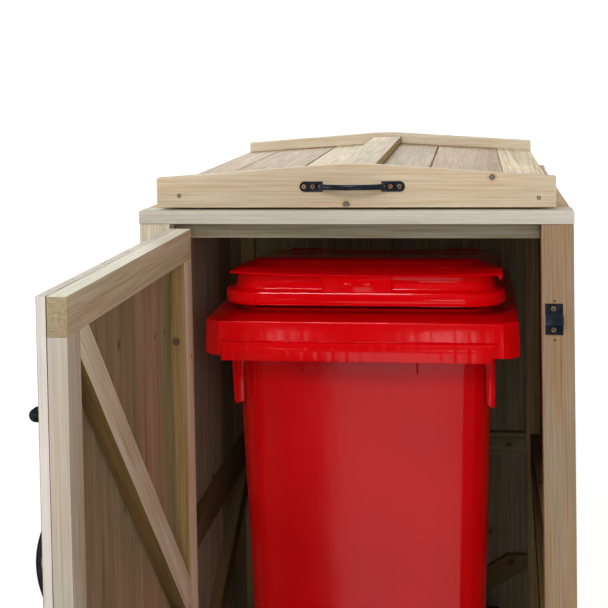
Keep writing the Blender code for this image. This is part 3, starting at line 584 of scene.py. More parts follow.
def extent(bm):
    """Lowest and highest corner of a bmesh."""
    return (Vector([min(v.co[i] for v in bm.verts) for i in range(3)]),
            Vector([max(v.co[i] for v in bm.verts) for i in range(3)]))


def local_box(node, place):
    """Lowest and highest corner of a CAD node in a local frame."""
    shape = node_mesh(node, place)
    corners = extent(shape)
    shape.free()
    return corners


# ---------------------------------------------------------------- paint, plastic and metal
RED = srgb(238, 0, 12)
DEEP_RED = srgb(226, 0, 8)
SCUFFED_RED = srgb(222, 40, 46)
PALE_SPECK = srgb(232, 150, 144)
DRIED_MUD = srgb(128, 96, 78)
BARE_STEEL = srgb(120, 116, 112)


def black_coating():
    """Black powder coating with worn chips."""
    g = material_graph("black_coated_steel")
    here = g.place()
    cloud = g.noise(here, 60.0, 3.0)
    colour = g.mix(g.span(cloud, 0.3, 0.7), (0.012, 0.016, 0.024, 1), (0.026, 0.034, 0.050, 1))
    chips = g.span(g.noise(here, 420.0, 4.0, 0.7), 0.66, 0.70)
    colour = g.mix(chips * 0.6, colour, BARE_STEEL)
    return g.surface(colour, cloud * 0.16 + 0.14, g.bump(g.noise(here, 1400.0), 0.00002),
                     Metallic=0.25, Specular_IOR_Level=0.6)


def plated_steel(name, light, dark):
    g = material_graph(name)
    here = g.place()
    scratch = g.fibrous(here, 60.0, 900.0)
    colour = g.mix(g.span(g.noise(here, 220.0, 3.0), 0.3, 0.7), srgb(*dark), srgb(*light))
    return g.surface(colour, scratch * 0.25 + 0.22, g.bump(scratch, 0.00004), Metallic=0.55)


def red_plastic():
    """Moulded polyethylene: soft gloss, a fine mould grain, scuffs and pale specks."""
    g = material_graph("red_polyethylene")
    here = g.place()
    height = g.split(here)[2]
    mottle = g.noise(here, 90.0, 3.0)
    colour = g.mix(g.span(g.noise(here, 5.0, 3.0), 0.3, 0.7), DEEP_RED, RED)
    scratch = g.noise(g.scaled(here, (260.0, 260.0, 9.0)), 1.0, 3.0, 0.6)
    scuff = g.span(scratch, 0.62, 0.80) * g.span(g.noise(here, 7.0), 0.50, 0.7)
    colour = g.mix(scuff * 0.35, colour, SCUFFED_RED)
    speck = g.span(g.noise(here, 330.0), 0.77, 0.81) * g.span(g.noise(here, 11.0, 1.0), 0.58, 0.68)
    colour = g.mix(speck * 0.7, colour, PALE_SPECK)
    # painted shade and light: below the flange the colour is darkened for the shade under the rim, and the lid is
    # lightened as if lit from above; the lid is also the smoothest
    colour = g.shaded(colour, g.span(height, 0.905, 0.925, 0.77, 0.94)
                      + g.span(height, 1.012, 1.018, 0.0, 0.05))
    mud = g.span(height, 0.22, 0.0) * g.span(mottle, 0.35, 0.7, 0.2, 0.7)
    colour = g.mix(mud * 0.5, colour, DRIED_MUD)
    rough = mottle * 0.06 + g.span(height, 1.005, 1.015, 0.10, 0.05) + scuff * 0.25
    relief = g.noise(here, 1500.0) * 0.015 + g.noise(here, 16.0) * 1.5
    return g.surface(colour, rough, g.bump(relief, 0.0003),
                     Specular_IOR_Level=g.span(height, 1.05, 1.09, 0.45, 0.18))


def black_rubber():
    g = material_graph("black_rubber")
    here = g.place()
    dust = g.noise(here, 45.0, 4.0, 0.7)
    colour = g.mix(g.span(dust, 0.45, 0.75), (0.012, 0.012, 0.013, 1), srgb(84, 78, 70))
    return g.surface(colour, dust * 0.2 + 0.62, g.bump(g.noise(here, 900.0), 0.0002))


MAT = {
    "frame": pine("pine_planed"),
    "boards": pine("pine_boards"),
    "roof": pine("pine_roof"),
    "black": black_coating(),
    "zinc": plated_steel("zinc_plated_steel", (196, 190, 178), (134, 128, 118)),
    "brass": plated_steel("yellow_passivated_screw", (214, 176, 128), (150, 112, 74)),
    "rust": plated_steel("dull_screw", (104, 88, 66), (52, 42, 32)),
    "red": red_plastic(),
    "rubber": black_rubber(),
}


# ---------------------------------------------------------------- carcass and roof frame
def carcass():
    front, rear = -ALONG_Y, ALONG_Y
    inside = look((150, 124, 92), (138, 116, 80), 0.5, 0.9, 1.0)
    sides = look((216, 186, 152), (208, 180, 144), 0.5, 0.7, 1.0)

    def board(node, direction, normal, board_look, **extra):
        timber(node, direction, normal, MAT["frame"], "pine_frame", board_look, **extra)

    board("front_post_right", ALONG_Z, front,
          look((160, 142, 120), (165, 137, 108), 0.2, 0.6,
               narrow=look((198, 174, 146), (190, 168, 136), 0.3, 0.7)), arris=0.0012)
    board("front_post_left", ALONG_Z, front, look((222, 214, 198), (206, 206, 182), 0.1, 0.8),
          sharp=60, arris=0.0012)
    for side in ("left", "right"):
        board("rear_post_" + side, ALONG_Z, rear, look((204, 178, 136), (190, 168, 122), 0.3, 0.8))
        for level in ("foot_rail", "mid_ledge", "top_ledge"):
            board(side + "_" + level, ALONG_Y, ALONG_X, inside)
        low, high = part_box(side + "_wall_brace")
        run = Vector((0, high.y - low.y, high.z - low.z))
        board(side + "_wall_brace", run, ALONG_X, inside)
        board("roof_frame_" + side, ALONG_Y, ALONG_Z, sides)
    far = look((176, 164, 130), (150, 144, 108), 0.3, 0.8, 1.0)
    for level in ("foot_rail", "mid_ledge", "top_ledge"):
        board("back_" + level, ALONG_X, ALONG_Y, far)
    low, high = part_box("back_wall_brace")
    board("back_wall_brace", Vector((high.x - low.x, 0, high.z - low.z)), ALONG_Y, inside)
    board("door_head_rail", ALONG_X, front, look((163, 156, 138), (144, 143, 121), 0.1, 1.0))
    board("roof_frame_front", ALONG_X, front,
          look((207, 200, 189), (202, 196, 185), 0.15, 0.22), arris=0.0022)
    board("roof_frame_rear", ALONG_X, rear, sides)


def cladding():
    inward = {"left": ALONG_X, "right": -ALONG_X, "back": -ALONG_Y}
    counts = {"left": 6, "right": 6, "back": 5}
    brown = look((206, 180, 150), (196, 176, 142), 0.4, 1.0, 1.0)
    light = look((228, 208, 182), (218, 204, 174), 0.4, 1.0, 1.0)
    green = look((190, 176, 140), (176, 168, 126), 0.7, 1.0, 0.6)
    dark = look((176, 159, 133), (160, 150, 119), 0.3, 1.0, 0.6)
    inner = {"left": (light, green, light), "right": (brown, green, brown),
             "back": (dark, green, dark)}
    for side, normal in inward.items():
        place = frame_of(normal.cross(ALONG_Z), normal, ALONG_Z)
        boarded(side + "_wall_boards", place, evenly(counts[side]), MAT["boards"],
                inner[side],
                outer=(look((206, 178, 146), (196, 176, 138), 0.5, 0.8, 0.8),
                       look((202, 184, 146), (190, 178, 134), 0.7, 0.8, 0.6),
                       look((210, 180, 152), (200, 176, 142), 0.3, 0.8, 0.8)))


# ---------------------------------------------------------------- roof lid
LID_JOINTS = (0.130, 0.275)     # board joints, measured from the ridge
ROOF_BOARD = 0.016


def roof_lid():
    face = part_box("lid_front_fascia")[0].y
    knots = (((0.249, face, 1.278), 0.0045, 1.0), ((-0.011, face, 1.230), 0.0050, 1.0))
    timber("lid_front_fascia", ALONG_X, -ALONG_Y, pine("pine_fascia", knots), "pine_roof",
           look((217, 203, 178), (212, 191, 162), 0.9, 0.4), arris=0.0022)
    timber("lid_rear_fascia", ALONG_X, ALONG_Y, MAT["roof"], "pine_roof",
           look((232, 222, 200), (224, 208, 184), 0.5, 0.4), arris=0.0022)
    timber("ridge_cap", ALONG_Y, ALONG_Z, MAT["roof"], "pine_roof",
           look((206, 187, 150), (189, 176, 134), 1.0, 1.2,
                narrow=look((168, 142, 96), (152, 130, 82), 0.4, 0.8)), arris=0.0014)
    hidden = look((200, 180, 150))
    for side, direction, normal in (("front", ALONG_X, ALONG_Y), ("rear", ALONG_X, ALONG_Y),
                                    ("left", ALONG_Y, ALONG_X), ("right", ALONG_Y, ALONG_X)):
        timber("lid_%s_batten" % side, direction, normal, MAT["frame"], "pine_frame", hidden)
    honey = look((193, 169, 132), (187, 158, 124), 0.7, 0.8, 0.4)
    olive = look((185, 160, 121), (174, 155, 110), 0.8, 1.0, 0.3)
    pale = look((219, 202, 165), (208, 192, 150), 0.9, 0.9, 0.2)
    amber = look((178, 147, 107), (167, 143, 98), 0.8, 1.0, 0.3)
    cream = look((240, 224, 192), (228, 212, 176), 0.9, 0.9, 0.2)
    for side, node in ((-1, "left_roof_boards"), (1, "right_roof_boards")):
        low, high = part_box(node)
        wide = high.x - low.x
        slope = math.atan2(high.z - low.z - ROOF_BOARD, wide)
        across = Vector((math.cos(slope), 0, -side * math.sin(slope)))
        place = frame_of(across, ALONG_Y.cross(across), ALONG_Y)
        joints = [j / wide for j in LID_JOINTS]
        looks = [olive, honey, cream]
        if side < 0:
            joints = [1 - j for j in reversed(joints)]
            looks = [honey, amber, pale]
        boarded(node, place, joints, MAT["roof"], looks, spread=0.02)


# ---------------------------------------------------------------- door
def door():
    def board(node, direction, board_look, material=MAT["frame"]):
        timber(node, direction, ALONG_Y, material, "pine_frame", board_look, place=DOOR,
               arris=0.0010)

    def knot(u, v, z, radius):
        return (tuple(DOOR @ Vector((u, v, z))), radius, 0.35)

    stile_knots = (knot(0.0575, 0.028, 0.995, 0.0050), knot(0.020, 0.046, 0.960, 0.0030))
    ledge = look((184, 161, 137), (177, 162, 134), 0.3, 0.7,
                 narrow=look((232, 226, 208), (226, 224, 206), 0.1, 0.2))
    for level in ("top", "mid", "bottom"):
        board("door_%s_ledge" % level, ALONG_X, ledge)
    board("door_hinge_stile", ALONG_Z,
          look((190, 174, 153), (190, 170, 145), 0.3, 0.7,
               narrow=look((166, 135, 95), (152, 128, 80), 0.4, 0.8)),
          pine("pine_hinge_stile", stile_knots))
    board("door_closing_stile", ALONG_Z,
          look((178, 163, 148), (172, 158, 138), 0.2, 0.6,
               narrow=look((178, 181, 171), (190, 176, 161), 0.1, 0.3)))
    # painted shade: the braces' long narrow faces, above and below, are coloured dark brown to stand for the shade
    # under each brace
    for node in ("door_upper_brace", "door_lower_brace"):
        low, high = local_box(node, DOOR)
        board(node, Vector((high.x - low.x, 0, high.z - low.z)),
              look((194, 180, 160), (182, 164, 140), 0.4, 0.8,
                   narrow=look((122, 96, 56), (108, 84, 46), 0.4, 0.8)))
    board_knots = (knot(0.359, 0.0185, 1.057, 0.0050), knot(0.349, 0.0185, 0.796, 0.0035),
                   knot(0.160, 0.0185, 1.026, 0.0030), knot(0.097, 0.0185, 1.022, 0.0030))
    looks = (look((145, 128, 98), (132, 122, 89), 0.3, 0.9),
             look((149, 122, 98), (140, 116, 90), 0.5, 0.9),
             look((146, 122, 97), (134, 119, 89), 0.2, 0.8),
             look((140, 119, 93), (131, 114, 85), 0.4, 0.9))
    boarded("door_boards", DOOR, evenly(5), pine("pine_door_boards", board_knots),
            looks, edge=look((230, 218, 213), (220, 214, 207), 0.1, 0.2),
            outer=(look((206, 180, 150), (196, 176, 140), 0.5, 0.8, 0.8),
                   look((198, 178, 146), (186, 176, 134), 0.7, 0.9, 0.8)))


# ---------------------------------------------------------------- ironmongery
DOME = (0.18, 0.34, 0.52, 0.60, 0.82, 0.96, 1.0, 1.0)       # a screw head's rings, in radii
SLOTTED = 3                 # the rings that its recess cuts
SLOT_HALF = 0.17
SLOT_DEEP = 0.0012


def screw_head(bm, place, radius=0.0040, rise=0.0011):
    """A domed screw head with a cross recess, on the frame's z = 0 plane."""
    segments = 24
    rings = []
    for k, share in enumerate(DOME):
        ring = []
        for i in range(segments):
            turn = 2 * math.pi * i / segments
            height = rise * (1 - 0.75 * share * share)
            if k < SLOTTED and min(abs(math.cos(turn)), abs(math.sin(turn))) * share < SLOT_HALF:
                height -= SLOT_DEEP
            if k == len(DOME) - 1:
                height = -0.0004
            ring.append(bm.verts.new(place @ Vector((radius * share * math.cos(turn),
                                                     radius * share * math.sin(turn), height))))
        rings.append(ring)
    skin(bm, rings)


def screws(name, body, material, heads):
    """A piece made of screw heads, each given as (place, radius, rise) or less of that."""
    bm = bmesh.new()
    for head in heads:
        screw_head(bm, *head)
    finish_piece(name, bm, HERE, MAT[material], body)


def keep_with_bevel(node, material, width=0.0006):
    """A CAD node that stays: welded, with small rounded edges and a new material."""
    shown = NODES[node]
    shown.data.materials.clear()
    shown.data.materials.append(MAT[material])
    weld = shown.modifiers.new("weld", "WELD")
    weld.merge_threshold = 0.00002
    bevel = shown.modifiers.new("edges", "BEVEL")
    bevel.width = width
    bevel.segments = 2
    bevel.limit_method = "ANGLE"
    bevel.angle_limit = math.radians(38)
    bevel.harden_normals = False
    shown.data.shade_smooth()
    smooth = shown.modifiers.new("smooth", "EDGE_SPLIT")
    smooth.split_angle = math.radians(32)


PLATE = 0.003
FLANGE_LONG = 0.042
FLANGE_HALF = 0.0095
ROD = 0.0045
BOW_REACH = 0.0235
BOW_SAG = 0.0133


def bow_handle(node, place, body, long, screws_at, twist):
    """Bow handle along the frame's x: end plates with round ends, their screws and a bow."""
    half = long / 2
    steps = 16
    bm = bmesh.new()
    for side in (-1, 1):
        centre = side * (half - FLANGE_HALF)
        inner = side * (half - FLANGE_LONG)
        outline = [(inner, -FLANGE_HALF), (centre, -FLANGE_HALF)]
        outline += [(centre + side * FLANGE_HALF * math.sin(math.pi * i / steps),
                     -FLANGE_HALF * math.cos(math.pi * i / steps)) for i in range(1, steps)]
        outline += [(centre, FLANGE_HALF), (inner, FLANGE_HALF)]
        prism(bm, outline, "y", -PLATE, 0.0, 0.0009, 3)
    sweep_bow(bm, half)
    finish_piece(node + "_bow", bm, place, MAT["black"], body, (node,), 40)
    out = (place.to_3x3() @ -ALONG_Y).normalized()
    screws(node + "_screws", body, "brass",
           [(facing(place @ Vector((x, -PLATE, 0)), out, x * twist),) for x in screws_at])


def sweep_bow(bm, half):
    """A steep foot at each plate and a flat arch between them."""
    foot = half - FLANGE_LONG + ROD + 0.001
    arch = foot - 0.0035
    steps = 24
    path = [(-foot, -0.001), (-foot + 0.0003, -0.0040), (-foot + 0.0012, -0.0075)]
    for i in range(steps + 1):
        share = 2 * i / steps - 1
        path.append((arch * share, -BOW_REACH + BOW_SAG * share * share))
    path += [(-x, y) for x, y in reversed(path[:3])]
    rings = []
    segments = 20
    for i, (x, y) in enumerate(path):
        before, after = path[max(i - 1, 0)], path[min(i + 1, len(path) - 1)]
        heading = math.atan2(after[1] - before[1], after[0] - before[0])
        flare = 1.0 + 0.30 * max(0.0, 1 - min(i, len(path) - 1 - i) / 5)
        ring = []
        for k in range(segments):
            turn = 2 * math.pi * k / segments
            side = ROD * 0.86 * flare * math.cos(turn)
            ring.append(bm.verts.new((x - side * math.sin(heading),
                                      y + side * math.cos(heading),
                                      ROD * 1.12 * flare * math.sin(turn))))
        rings.append(ring)
    skin(bm, rings)


def handles():
    low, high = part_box("lid_pull")
    middle = middle_of("lid_pull")
    bow_handle("lid_pull", Matrix.Translation((middle.x, high.y, middle.z)), "roof_lid",
               high.x - low.x, (-0.087, -0.071, 0.069, 0.085), 9)
    low, high = local_box("door_pull", DOOR)
    middle = Vector(((low.x + high.x) / 2, high.y, (low.z + high.z) / 2))
    place = DOOR @ Matrix.Translation(middle) @ Matrix.Rotation(math.pi / 2, 4, "Y")
    bow_handle("door_pull", place, "door", high.z - low.z, (-0.087, -0.071, 0.071, 0.087), 7)


def ironmongery():
    handles()
    for node in NODES:
        if node.startswith(("door_hinge_leaf", "door_hinge_strap", "bolt_", "bin_hinge_rod")):
            keep_with_bevel(node, "black", 0.0008 if node == "bin_hinge_rod" else 0.0006)
        elif node.startswith(("lid_hinge_leaf", "bin_axle")):
            keep_with_bevel(node, "zinc", 0.0008 if node == "bin_axle" else 0.0002)

    def forward(x, y, z, turn):
        return facing(Vector((x, y, z)), -ALONG_Y, turn)

    keep = middle_of("bolt_keep")
    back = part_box("bolt_keep")[1].y
    screws("keep_screws", "store", "brass",
           [(forward(keep.x - 0.001, back - 0.0022, keep.z + rise, rise * 60), 0.0042)
            for rise in (-0.0185, 0.0185)])
    screws("post_nails", "store", "rust",
           [(forward(keep.x + 0.001, back + 0.0002, keep.z + rise, rise * 90), 0.0022, 0.0006)
            for rise in (-0.037, 0.032)])
    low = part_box("lid_front_fascia")[0]
    screws("fascia_screws", "roof_lid", "rust",
           [(forward(x, low.y, low.z + rise, x * 2), 0.0036, 0.0006)
            for x, rise in ((-0.318, 0.022), (0.330, 0.017))])

    on_door, on_post = [], []
    for name in ("lower", "upper"):
        shape = node_mesh("door_hinge_strap_" + name, DOOR)
        low, high = extent(shape)
        face = min(v.co.y for v in shape.verts if v.co.x > 0.05)
        shape.free()
        z = (low.z + high.z) / 2
        on_door += [(DOOR @ forward(x, face, z, x * 8),) for x in (0.035, 0.105, 0.180, 0.270)]
        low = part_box("door_hinge_leaf_" + name)[0]
        on_post += [(forward(low.x + 0.012, low.y + 0.0072, z + rise, rise * 40),)
                    for rise in (-0.034, 0.0, 0.034)]
    low, high = local_box("bolt_barrel", DOOR)
    on_door += [(DOOR @ forward(x, high.y - 0.002, z, x * 5), 0.0028)
                for x in (low.x + 0.022, high.x - 0.020)
                for z in (low.z + 0.0042, high.z - 0.0042)]
    screws("door_screws", "door", "brass", on_door)
    screws("hinge_leaf_screws", "store", "brass", on_post)


# ---------------------------------------------------------------- the bin
BIN_X = middle_of("bin_axle").x
BIN_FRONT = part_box("bin_body")[0].y
HINGE = middle_of("bin_hinge_rod")
RIM_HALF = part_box("bin_body")[1].x - BIN_X + 0.0075
RIM_DEEP = 0.640
RIM_TOP = 1.000
RIM_CORNER = 0.029
RIM_FLAT = 0.85             # the rim's corners are nearly straight chamfers
FLANGE = 0.965
SKIRT_FOOT = 0.935
WALL = 0.004
TUB_FOOT = 0.012
RIB_PITCH = 0.026
RIB_SPREAD = 0.003


def moulded(name, bm, body, stands_for=(), smooth=35):
    finish_piece(name, bm, HERE, MAT["red"], body, stands_for, smooth)


def rounded(half, near, far, radius, corner_steps=8, side_steps=1, flat=0.0):
    """Points round a rounded rectangle, from the front left of its front side, seen above.

    flat pulls the corners from an arc (0) towards a straight chamfer (1).
    """
    depth = 1 - 0.12 * flat
    start = -half + radius
    points = [(start + (half - radius - start) * i / side_steps, near)
              for i in range(side_steps)]
    for k, (sx, sy) in enumerate(((1, -1), (1, 1), (-1, 1), (-1, -1))):
        first = math.pi / 2 * (k - 1)
        cx = sx * (half - radius)
        cy = (near if sy < 0 else far) - sy * radius * depth
        for i in range(corner_steps + 1):
            share = i / corner_steps
            turn = first + math.pi / 2 * share
            reach = []
            for f in (math.cos, math.sin):
                chord = f(first) * (1 - share) + f(first + math.pi / 2) * share
                reach.append(radius * (f(turn) * (1 - flat) + chord * flat))
            points.append((cx + reach[0], cy + reach[1] * depth))
    return points[:-1]


def loft(bm, levels, shape, middle, corner_steps, side_steps):
    """Skin rounded rectangles given as (half, near, far, radius, z, flat) and cap the ends."""
    rings = []
    for half, near, far, radius, z, *flat in levels:
        outline = rounded(half, near, far, radius, corner_steps, side_steps, *flat)
        rings.append([bm.verts.new(shape(Vector((middle + x, BIN_FRONT + y, z))))
                      for x, y in outline])
    skin(bm, rings)


def sink_mark(x, deep):
    """How far the front of the rim is drawn in where a rib meets it from behind."""
    offset = (x - BIN_X + RIB_PITCH / 2) % RIB_PITCH - RIB_PITCH / 2
    return deep * math.exp(-(offset / RIB_SPREAD) ** 2)


def ribbed(point):
    if point.y <= BIN_FRONT + 0.004 and point.z <= RIM_TOP - 0.004:
        point.y += sink_mark(point.x, 0.00016)
    return point


def bin_shell():
    """Tub with its walls, a rim like an upside-down channel, and the neck inside the lid."""
    def tub(z, inset=0.0, radius=0.050):
        share = (z - TUB_FOOT) / (FLANGE - TUB_FOOT)
        half, near, far = (foot + (top - foot) * share
                           for foot, top in ((0.2175, 0.2475), (0.090, 0.055), (0.545, 0.605)))
        return (half - inset, near + inset, far - inset, radius - inset, z)

    def rim(inset, z, corner=RIM_CORNER):
        return (RIM_HALF - inset, inset, RIM_DEEP - inset, corner, z, RIM_FLAT)

    def neck(inset, rise, radius=0.050):
        return (0.250 - inset, 0.100 + inset, 0.602 - inset, radius, RIM_TOP + rise)

    def inside(radius, z):
        return (0.2425, 0.061, 0.598, radius, z)

    levels = [tub(TUB_FOOT, 0.012), tub(0.0135, 0.006), tub(0.019, 0.0015), tub(0.030)]
    levels += [tub(0.03 + (FLANGE - 0.035) * i / 12) for i in range(1, 13)]
    levels += [tub(FLANGE - 0.0015, -0.002), tub(FLANGE, -0.006, 0.046)]
    foot = SKIRT_FOOT + 0.0015
    shoulder = RIM_TOP - 0.0035
    levels += [rim(WALL + 0.002, FLANGE, 0.019), rim(WALL, FLANGE - 0.003, 0.019),
               rim(WALL, SKIRT_FOOT + 0.001, 0.019), rim(WALL / 2, SKIRT_FOOT, 0.020),
               rim(0, foot)]
    levels += [rim(0.0015 * i / 4, foot + (shoulder - foot) * i / 4) for i in range(1, 5)]
    for i in range(1, 6):
        turn = math.pi / 2 * i / 5
        levels.append(rim(0.0015 + 0.0025 * (1 - math.cos(turn)),
                          shoulder + 0.0035 * math.sin(turn)))
    levels += [neck(0, 0.0002), neck(0.0035, 0.0012), neck(0.005, 0.003), neck(0.005, 0.0045),
               neck(0.0065, 0.006), neck(0.0085, 0.006, 0.047), neck(0.010, 0.0045, 0.045),
               neck(0.010, -0.003, 0.045), inside(0.046, RIM_TOP - 0.005),
               inside(0.046, FLANGE - 0.010)]
    levels += [tub(0.03 + (FLANGE - 0.05) * (12 - i) / 12, WALL) for i in range(1, 13)]
    levels += [tub(TUB_FOOT + WALL, 0.018)]
    bm = bmesh.new()
    loft(bm, levels, ribbed, BIN_X, corner_steps=8, side_steps=120)
    moulded("bin_shell", bm, "bin", ("bin_body",), 32)


def comb_band(bm):
    """The lower band, proud of the rim's front face, with a slanted right end."""
    left, right = BIN_X - 0.2617, BIN_X + 0.2410
    face = BIN_FRONT - 0.0085
    seat = BIN_FRONT + 0.004
    profile = [(seat, 0.9645), (BIN_FRONT, 0.9645), (face + 0.0035, 0.9630),
               (face + 0.0008, 0.9615), (face, 0.9590), (face + 0.0004, 0.9290),
               (face + 0.0016, 0.9272), (face + 0.0040, 0.9265), (seat, 0.9265)]
    steps = 150
    band = bmesh.new()
    slices = []
    for i in range(steps + 1):
        x = left + (right - left) * i / steps
        taper = max(0.0, 0.003 - min(x - left, right - x))
        drawn_in = sink_mark(x, 0.0003) + taper
        slices.append([band.verts.new((
            x + ((z - 0.926) * 0.40 if i == steps else 0.0),
            min(y + (drawn_in if y < BIN_FRONT else 0.0), seat), z)) for y, z in profile])
    skin(band, slices)
    merge(bm, band)


def bin_fittings():
    """The comb band, gussets, ribs, base and rear hinge lugs moulded onto the tub."""
    bm = bmesh.new()
    comb_band(bm)

    # gussets under the front corners, and short ribs under the band
    under = FLANGE - 0.002
    for outline in (((-0.2540, under), (-0.2270, under), (-0.2290, 0.835), (-0.2450, 0.829),
                     (-0.2475, 0.836)),
                    ((0.2315, under), (0.2525, under), (0.2506, 0.833), (0.2460, 0.829),
                     (0.2357, 0.836))):
        prism(bm, [(BIN_X + x, z) for x, z in outline], "y", BIN_FRONT + 0.052,
              BIN_FRONT + 0.058, 0.0008)
    for side in (-1, 1):
        for y in (0.16, 0.27, 0.38, 0.49):
            x0, x1 = sorted((BIN_X + side * 0.236, BIN_X + side * 0.279))
            prism(bm, [(x0, under), (x1, under), (BIN_X + side * 0.243, 0.860),
                       (BIN_X + side * 0.237, 0.860)],
                  "y", BIN_FRONT + y, BIN_FRONT + y + 0.003, 0)
    for x in (-0.1150, 0.1040):
        prism(bm, [(BIN_FRONT + y, z) for y, z in ((0.010, under), (0.062, under),
                                                   (0.064, 0.892), (0.052, 0.892))],
              "x", BIN_X + x, BIN_X + x + 0.003, 0.0004)

    # axle housing
    axle = middle_of("bin_axle")
    prism(bm, [(axle.y + y, axle.z + z) for y, z in (
        (-0.063, -0.028), (0.012, -0.028), (0.020, -0.018), (0.020, 0.018), (0.010, 0.032),
        (-0.063, 0.075))], "x", BIN_X - 0.195, BIN_X + 0.195, 0.004, 3)

    # hinge lugs and the rear grip
    rear = BIN_FRONT + RIM_DEEP
    lug = 0.0078
    for side in (-1, 1):
        for inner, outer in ((0.150, 0.166), (0.206, 0.222)):
            x0, x1 = sorted((BIN_X + side * inner, BIN_X + side * outer))
            outline = [(rear - 0.012, RIM_TOP - 0.040), (HINGE.y, RIM_TOP - 0.010),
                       (HINGE.y + lug, HINGE.z - lug)] + hinge_arc(lug, 0.0)
            outline += [(HINGE.y - lug, RIM_TOP + 0.006), (rear - 0.012, RIM_TOP - 0.004)]
            prism(bm, outline, "x", x0, x1, 0.0015)
    grip = (Matrix.Translation((BIN_X, HINGE.y + 0.002, HINGE.z - 0.036))
            @ Matrix.Rotation(math.pi / 2, 4, "Y"))
    turned(bm, [(0.0125, -0.158), (0.0125, 0.158)], grip, 24)
    moulded("bin_fittings", bm, "bin")


def hinge_arc(radius, first):
    """Half a turn round the hinge rod, as (y, z) points."""
    turns = [first + math.pi * i / 8 for i in range(9)]
    return [(HINGE.y + radius * math.cos(a), HINGE.z + radius * math.sin(a)) for a in turns]


LID_X = BIN_X + 0.002       # the lid sits a little to the right on its hinge rod
LID_FAR = 0.647             # the lid's back edge behind the rim's front face
LID_NEAR = 0.0535
LID_FOOT = 1.0200
LID_SHOULDER = 1.0460
LID_BULGE = 0.0050
FALL_START = BIN_FRONT + 0.145
FALL_LONG = 0.500


def lid_fall(point):
    """Lower a point of the lid towards its back, the higher parts more."""
    share = min(max((point.y - FALL_START) / FALL_LONG, 0.0), 1.0)
    rise = point.z - RIM_TOP
    point.z -= share * rise * (0.234 + 8.0 * max(0.0, rise - 0.047))
    return point


def lid_shell():
    """Underside, rolled skirt, recessed wall and domed top of the lid."""
    levels = [(half, near, LID_FAR - back, radius, z) for half, near, back, radius, z in (
        (0.215, 0.105, 0.120, 0.050, 1.046),
        (0.247, 0.073, 0.022, 0.050, 1.041),
        (0.2660, 0.0600, 0.0070, 0.060, 1.040),
        (0.2670, 0.0590, 0.0060, 0.060, 1.021),
        (0.2685, 0.0575, 0.0045, 0.061, 1.0195))]
    middle, rise = (LID_FOOT + LID_SHOULDER) / 2, (LID_SHOULDER - LID_FOOT) / 2
    for i in range(11):
        turn = math.pi * (i / 10 - 0.5)
        out = LID_BULGE * max(0.0, math.cos(turn)) ** 0.6
        levels.append((0.2680 + out, LID_NEAR + 0.0040 - out, LID_FAR - 0.0035 + out, 0.062,
                       middle + rise * math.sin(turn)))
    levels += [(half, LID_NEAR + near, LID_FAR - back, radius, z)
               for half, near, back, radius, z in (
                   (0.2620, 0.0115, 0.0110, 0.058, 1.0470),
                   (0.2570, 0.0170, 0.0170, 0.052, 1.0482),
                   (0.2540, 0.0195, 0.0195, 0.050, 1.0520),
                   (0.2525, 0.0200, 0.0200, 0.050, 1.0720),
                   (0.2545, 0.0180, 0.0180, 0.050, 1.0765),
                   (0.2580, 0.0130, 0.0130, 0.048, 1.0790),
                   (0.2590, 0.0110, 0.0110, 0.047, 1.0810),
                   (0.2560, 0.0140, 0.0150, 0.047, 1.0840),
                   (0.2440, 0.0270, 0.0300, 0.052, 1.0885),
                   (0.2330, 0.0390, 0.0420, 0.056, 1.0925),
                   (0.2290, 0.0430, 0.0460, 0.058, 1.0932),
                   (0.2220, 0.0490, 0.0520, 0.058, 1.0970),
                   (0.2150, 0.0570, 0.0600, 0.058, 1.0990),
                   (0.1900, 0.0820, 0.0900, 0.058, 1.1000),
                   (0.1500, 0.1300, 0.1400, 0.058, 1.1010))]
    bm = bmesh.new()
    loft(bm, levels, lid_fall, LID_X, corner_steps=12, side_steps=24)
    moulded("bin_lid_shell", bm, "bin_lid", ("bin_lid",), 40)


def grip_wing(bm, left, right):
    """The thin lip along the lid's front.  It is a blade that runs out to a point at the left."""
    lip = BIN_FRONT + 0.050
    seat = BIN_FRONT + 0.077
    steps = 60
    wing = bmesh.new()
    rows = []
    for i in range(steps + 1):
        x = left + (right - left) * i / steps
        z = 1.0785 + 0.0055 * ((x - BIN_X - 0.019) / 0.26) ** 2
        taper = min(1.0, (x - left) / 0.030 + 0.06)
        root = lip + 0.003 + (seat - lip - 0.003) * taper
        thick = 0.0021 * (0.40 + 0.60 * taper)
        roll = 0.0012 * (0.4 + 0.6 * taper)
        rows.append([wing.verts.new((x, *p)) for p in (
            (root, z - thick), (lip + roll, z - thick), (lip, z - thick * 0.2),
            (lip + roll * 0.5, z + thick * 0.6), (lip + roll * 2, z + thick),
            (root, z + thick + 0.0065 * taper))])
    skin(wing, rows)
    merge(bm, wing)
    # ear that turns down at the right end
    prism(bm, [(right - 0.0050, 1.0705), (right + 0.0005, 1.0800), (right - 0.0010, 1.0850),
               (right - 0.0080, 1.0830)], "y", lip + 0.002, BIN_FRONT + 0.090, 0.0008)


def oval_boss(bm):
    """A raised oval ring on the lid's sloping front shoulder."""
    steps = 40
    tilt = 0.30
    centre = Vector((BIN_X + 0.162, BIN_FRONT + 0.074, 1.0870))
    rings = ((0.0215, 0.0135, -0.002), (0.0215, 0.0135, 0.0006), (0.0198, 0.0118, 0.0018),
             (0.0180, 0.0100, 0.0006), (0.0180, 0.0100, -0.002))
    rows = []
    for i in range(steps):
        turn = 2 * math.pi * i / steps
        c, s = math.cos(turn), math.sin(turn)
        rows.append([bm.verts.new(centre + Vector((rx * c, ry * s, rise + ry * s * tilt)))
                     for rx, ry, rise in rings])
    skin(bm, rows + rows[:1], caps=False)


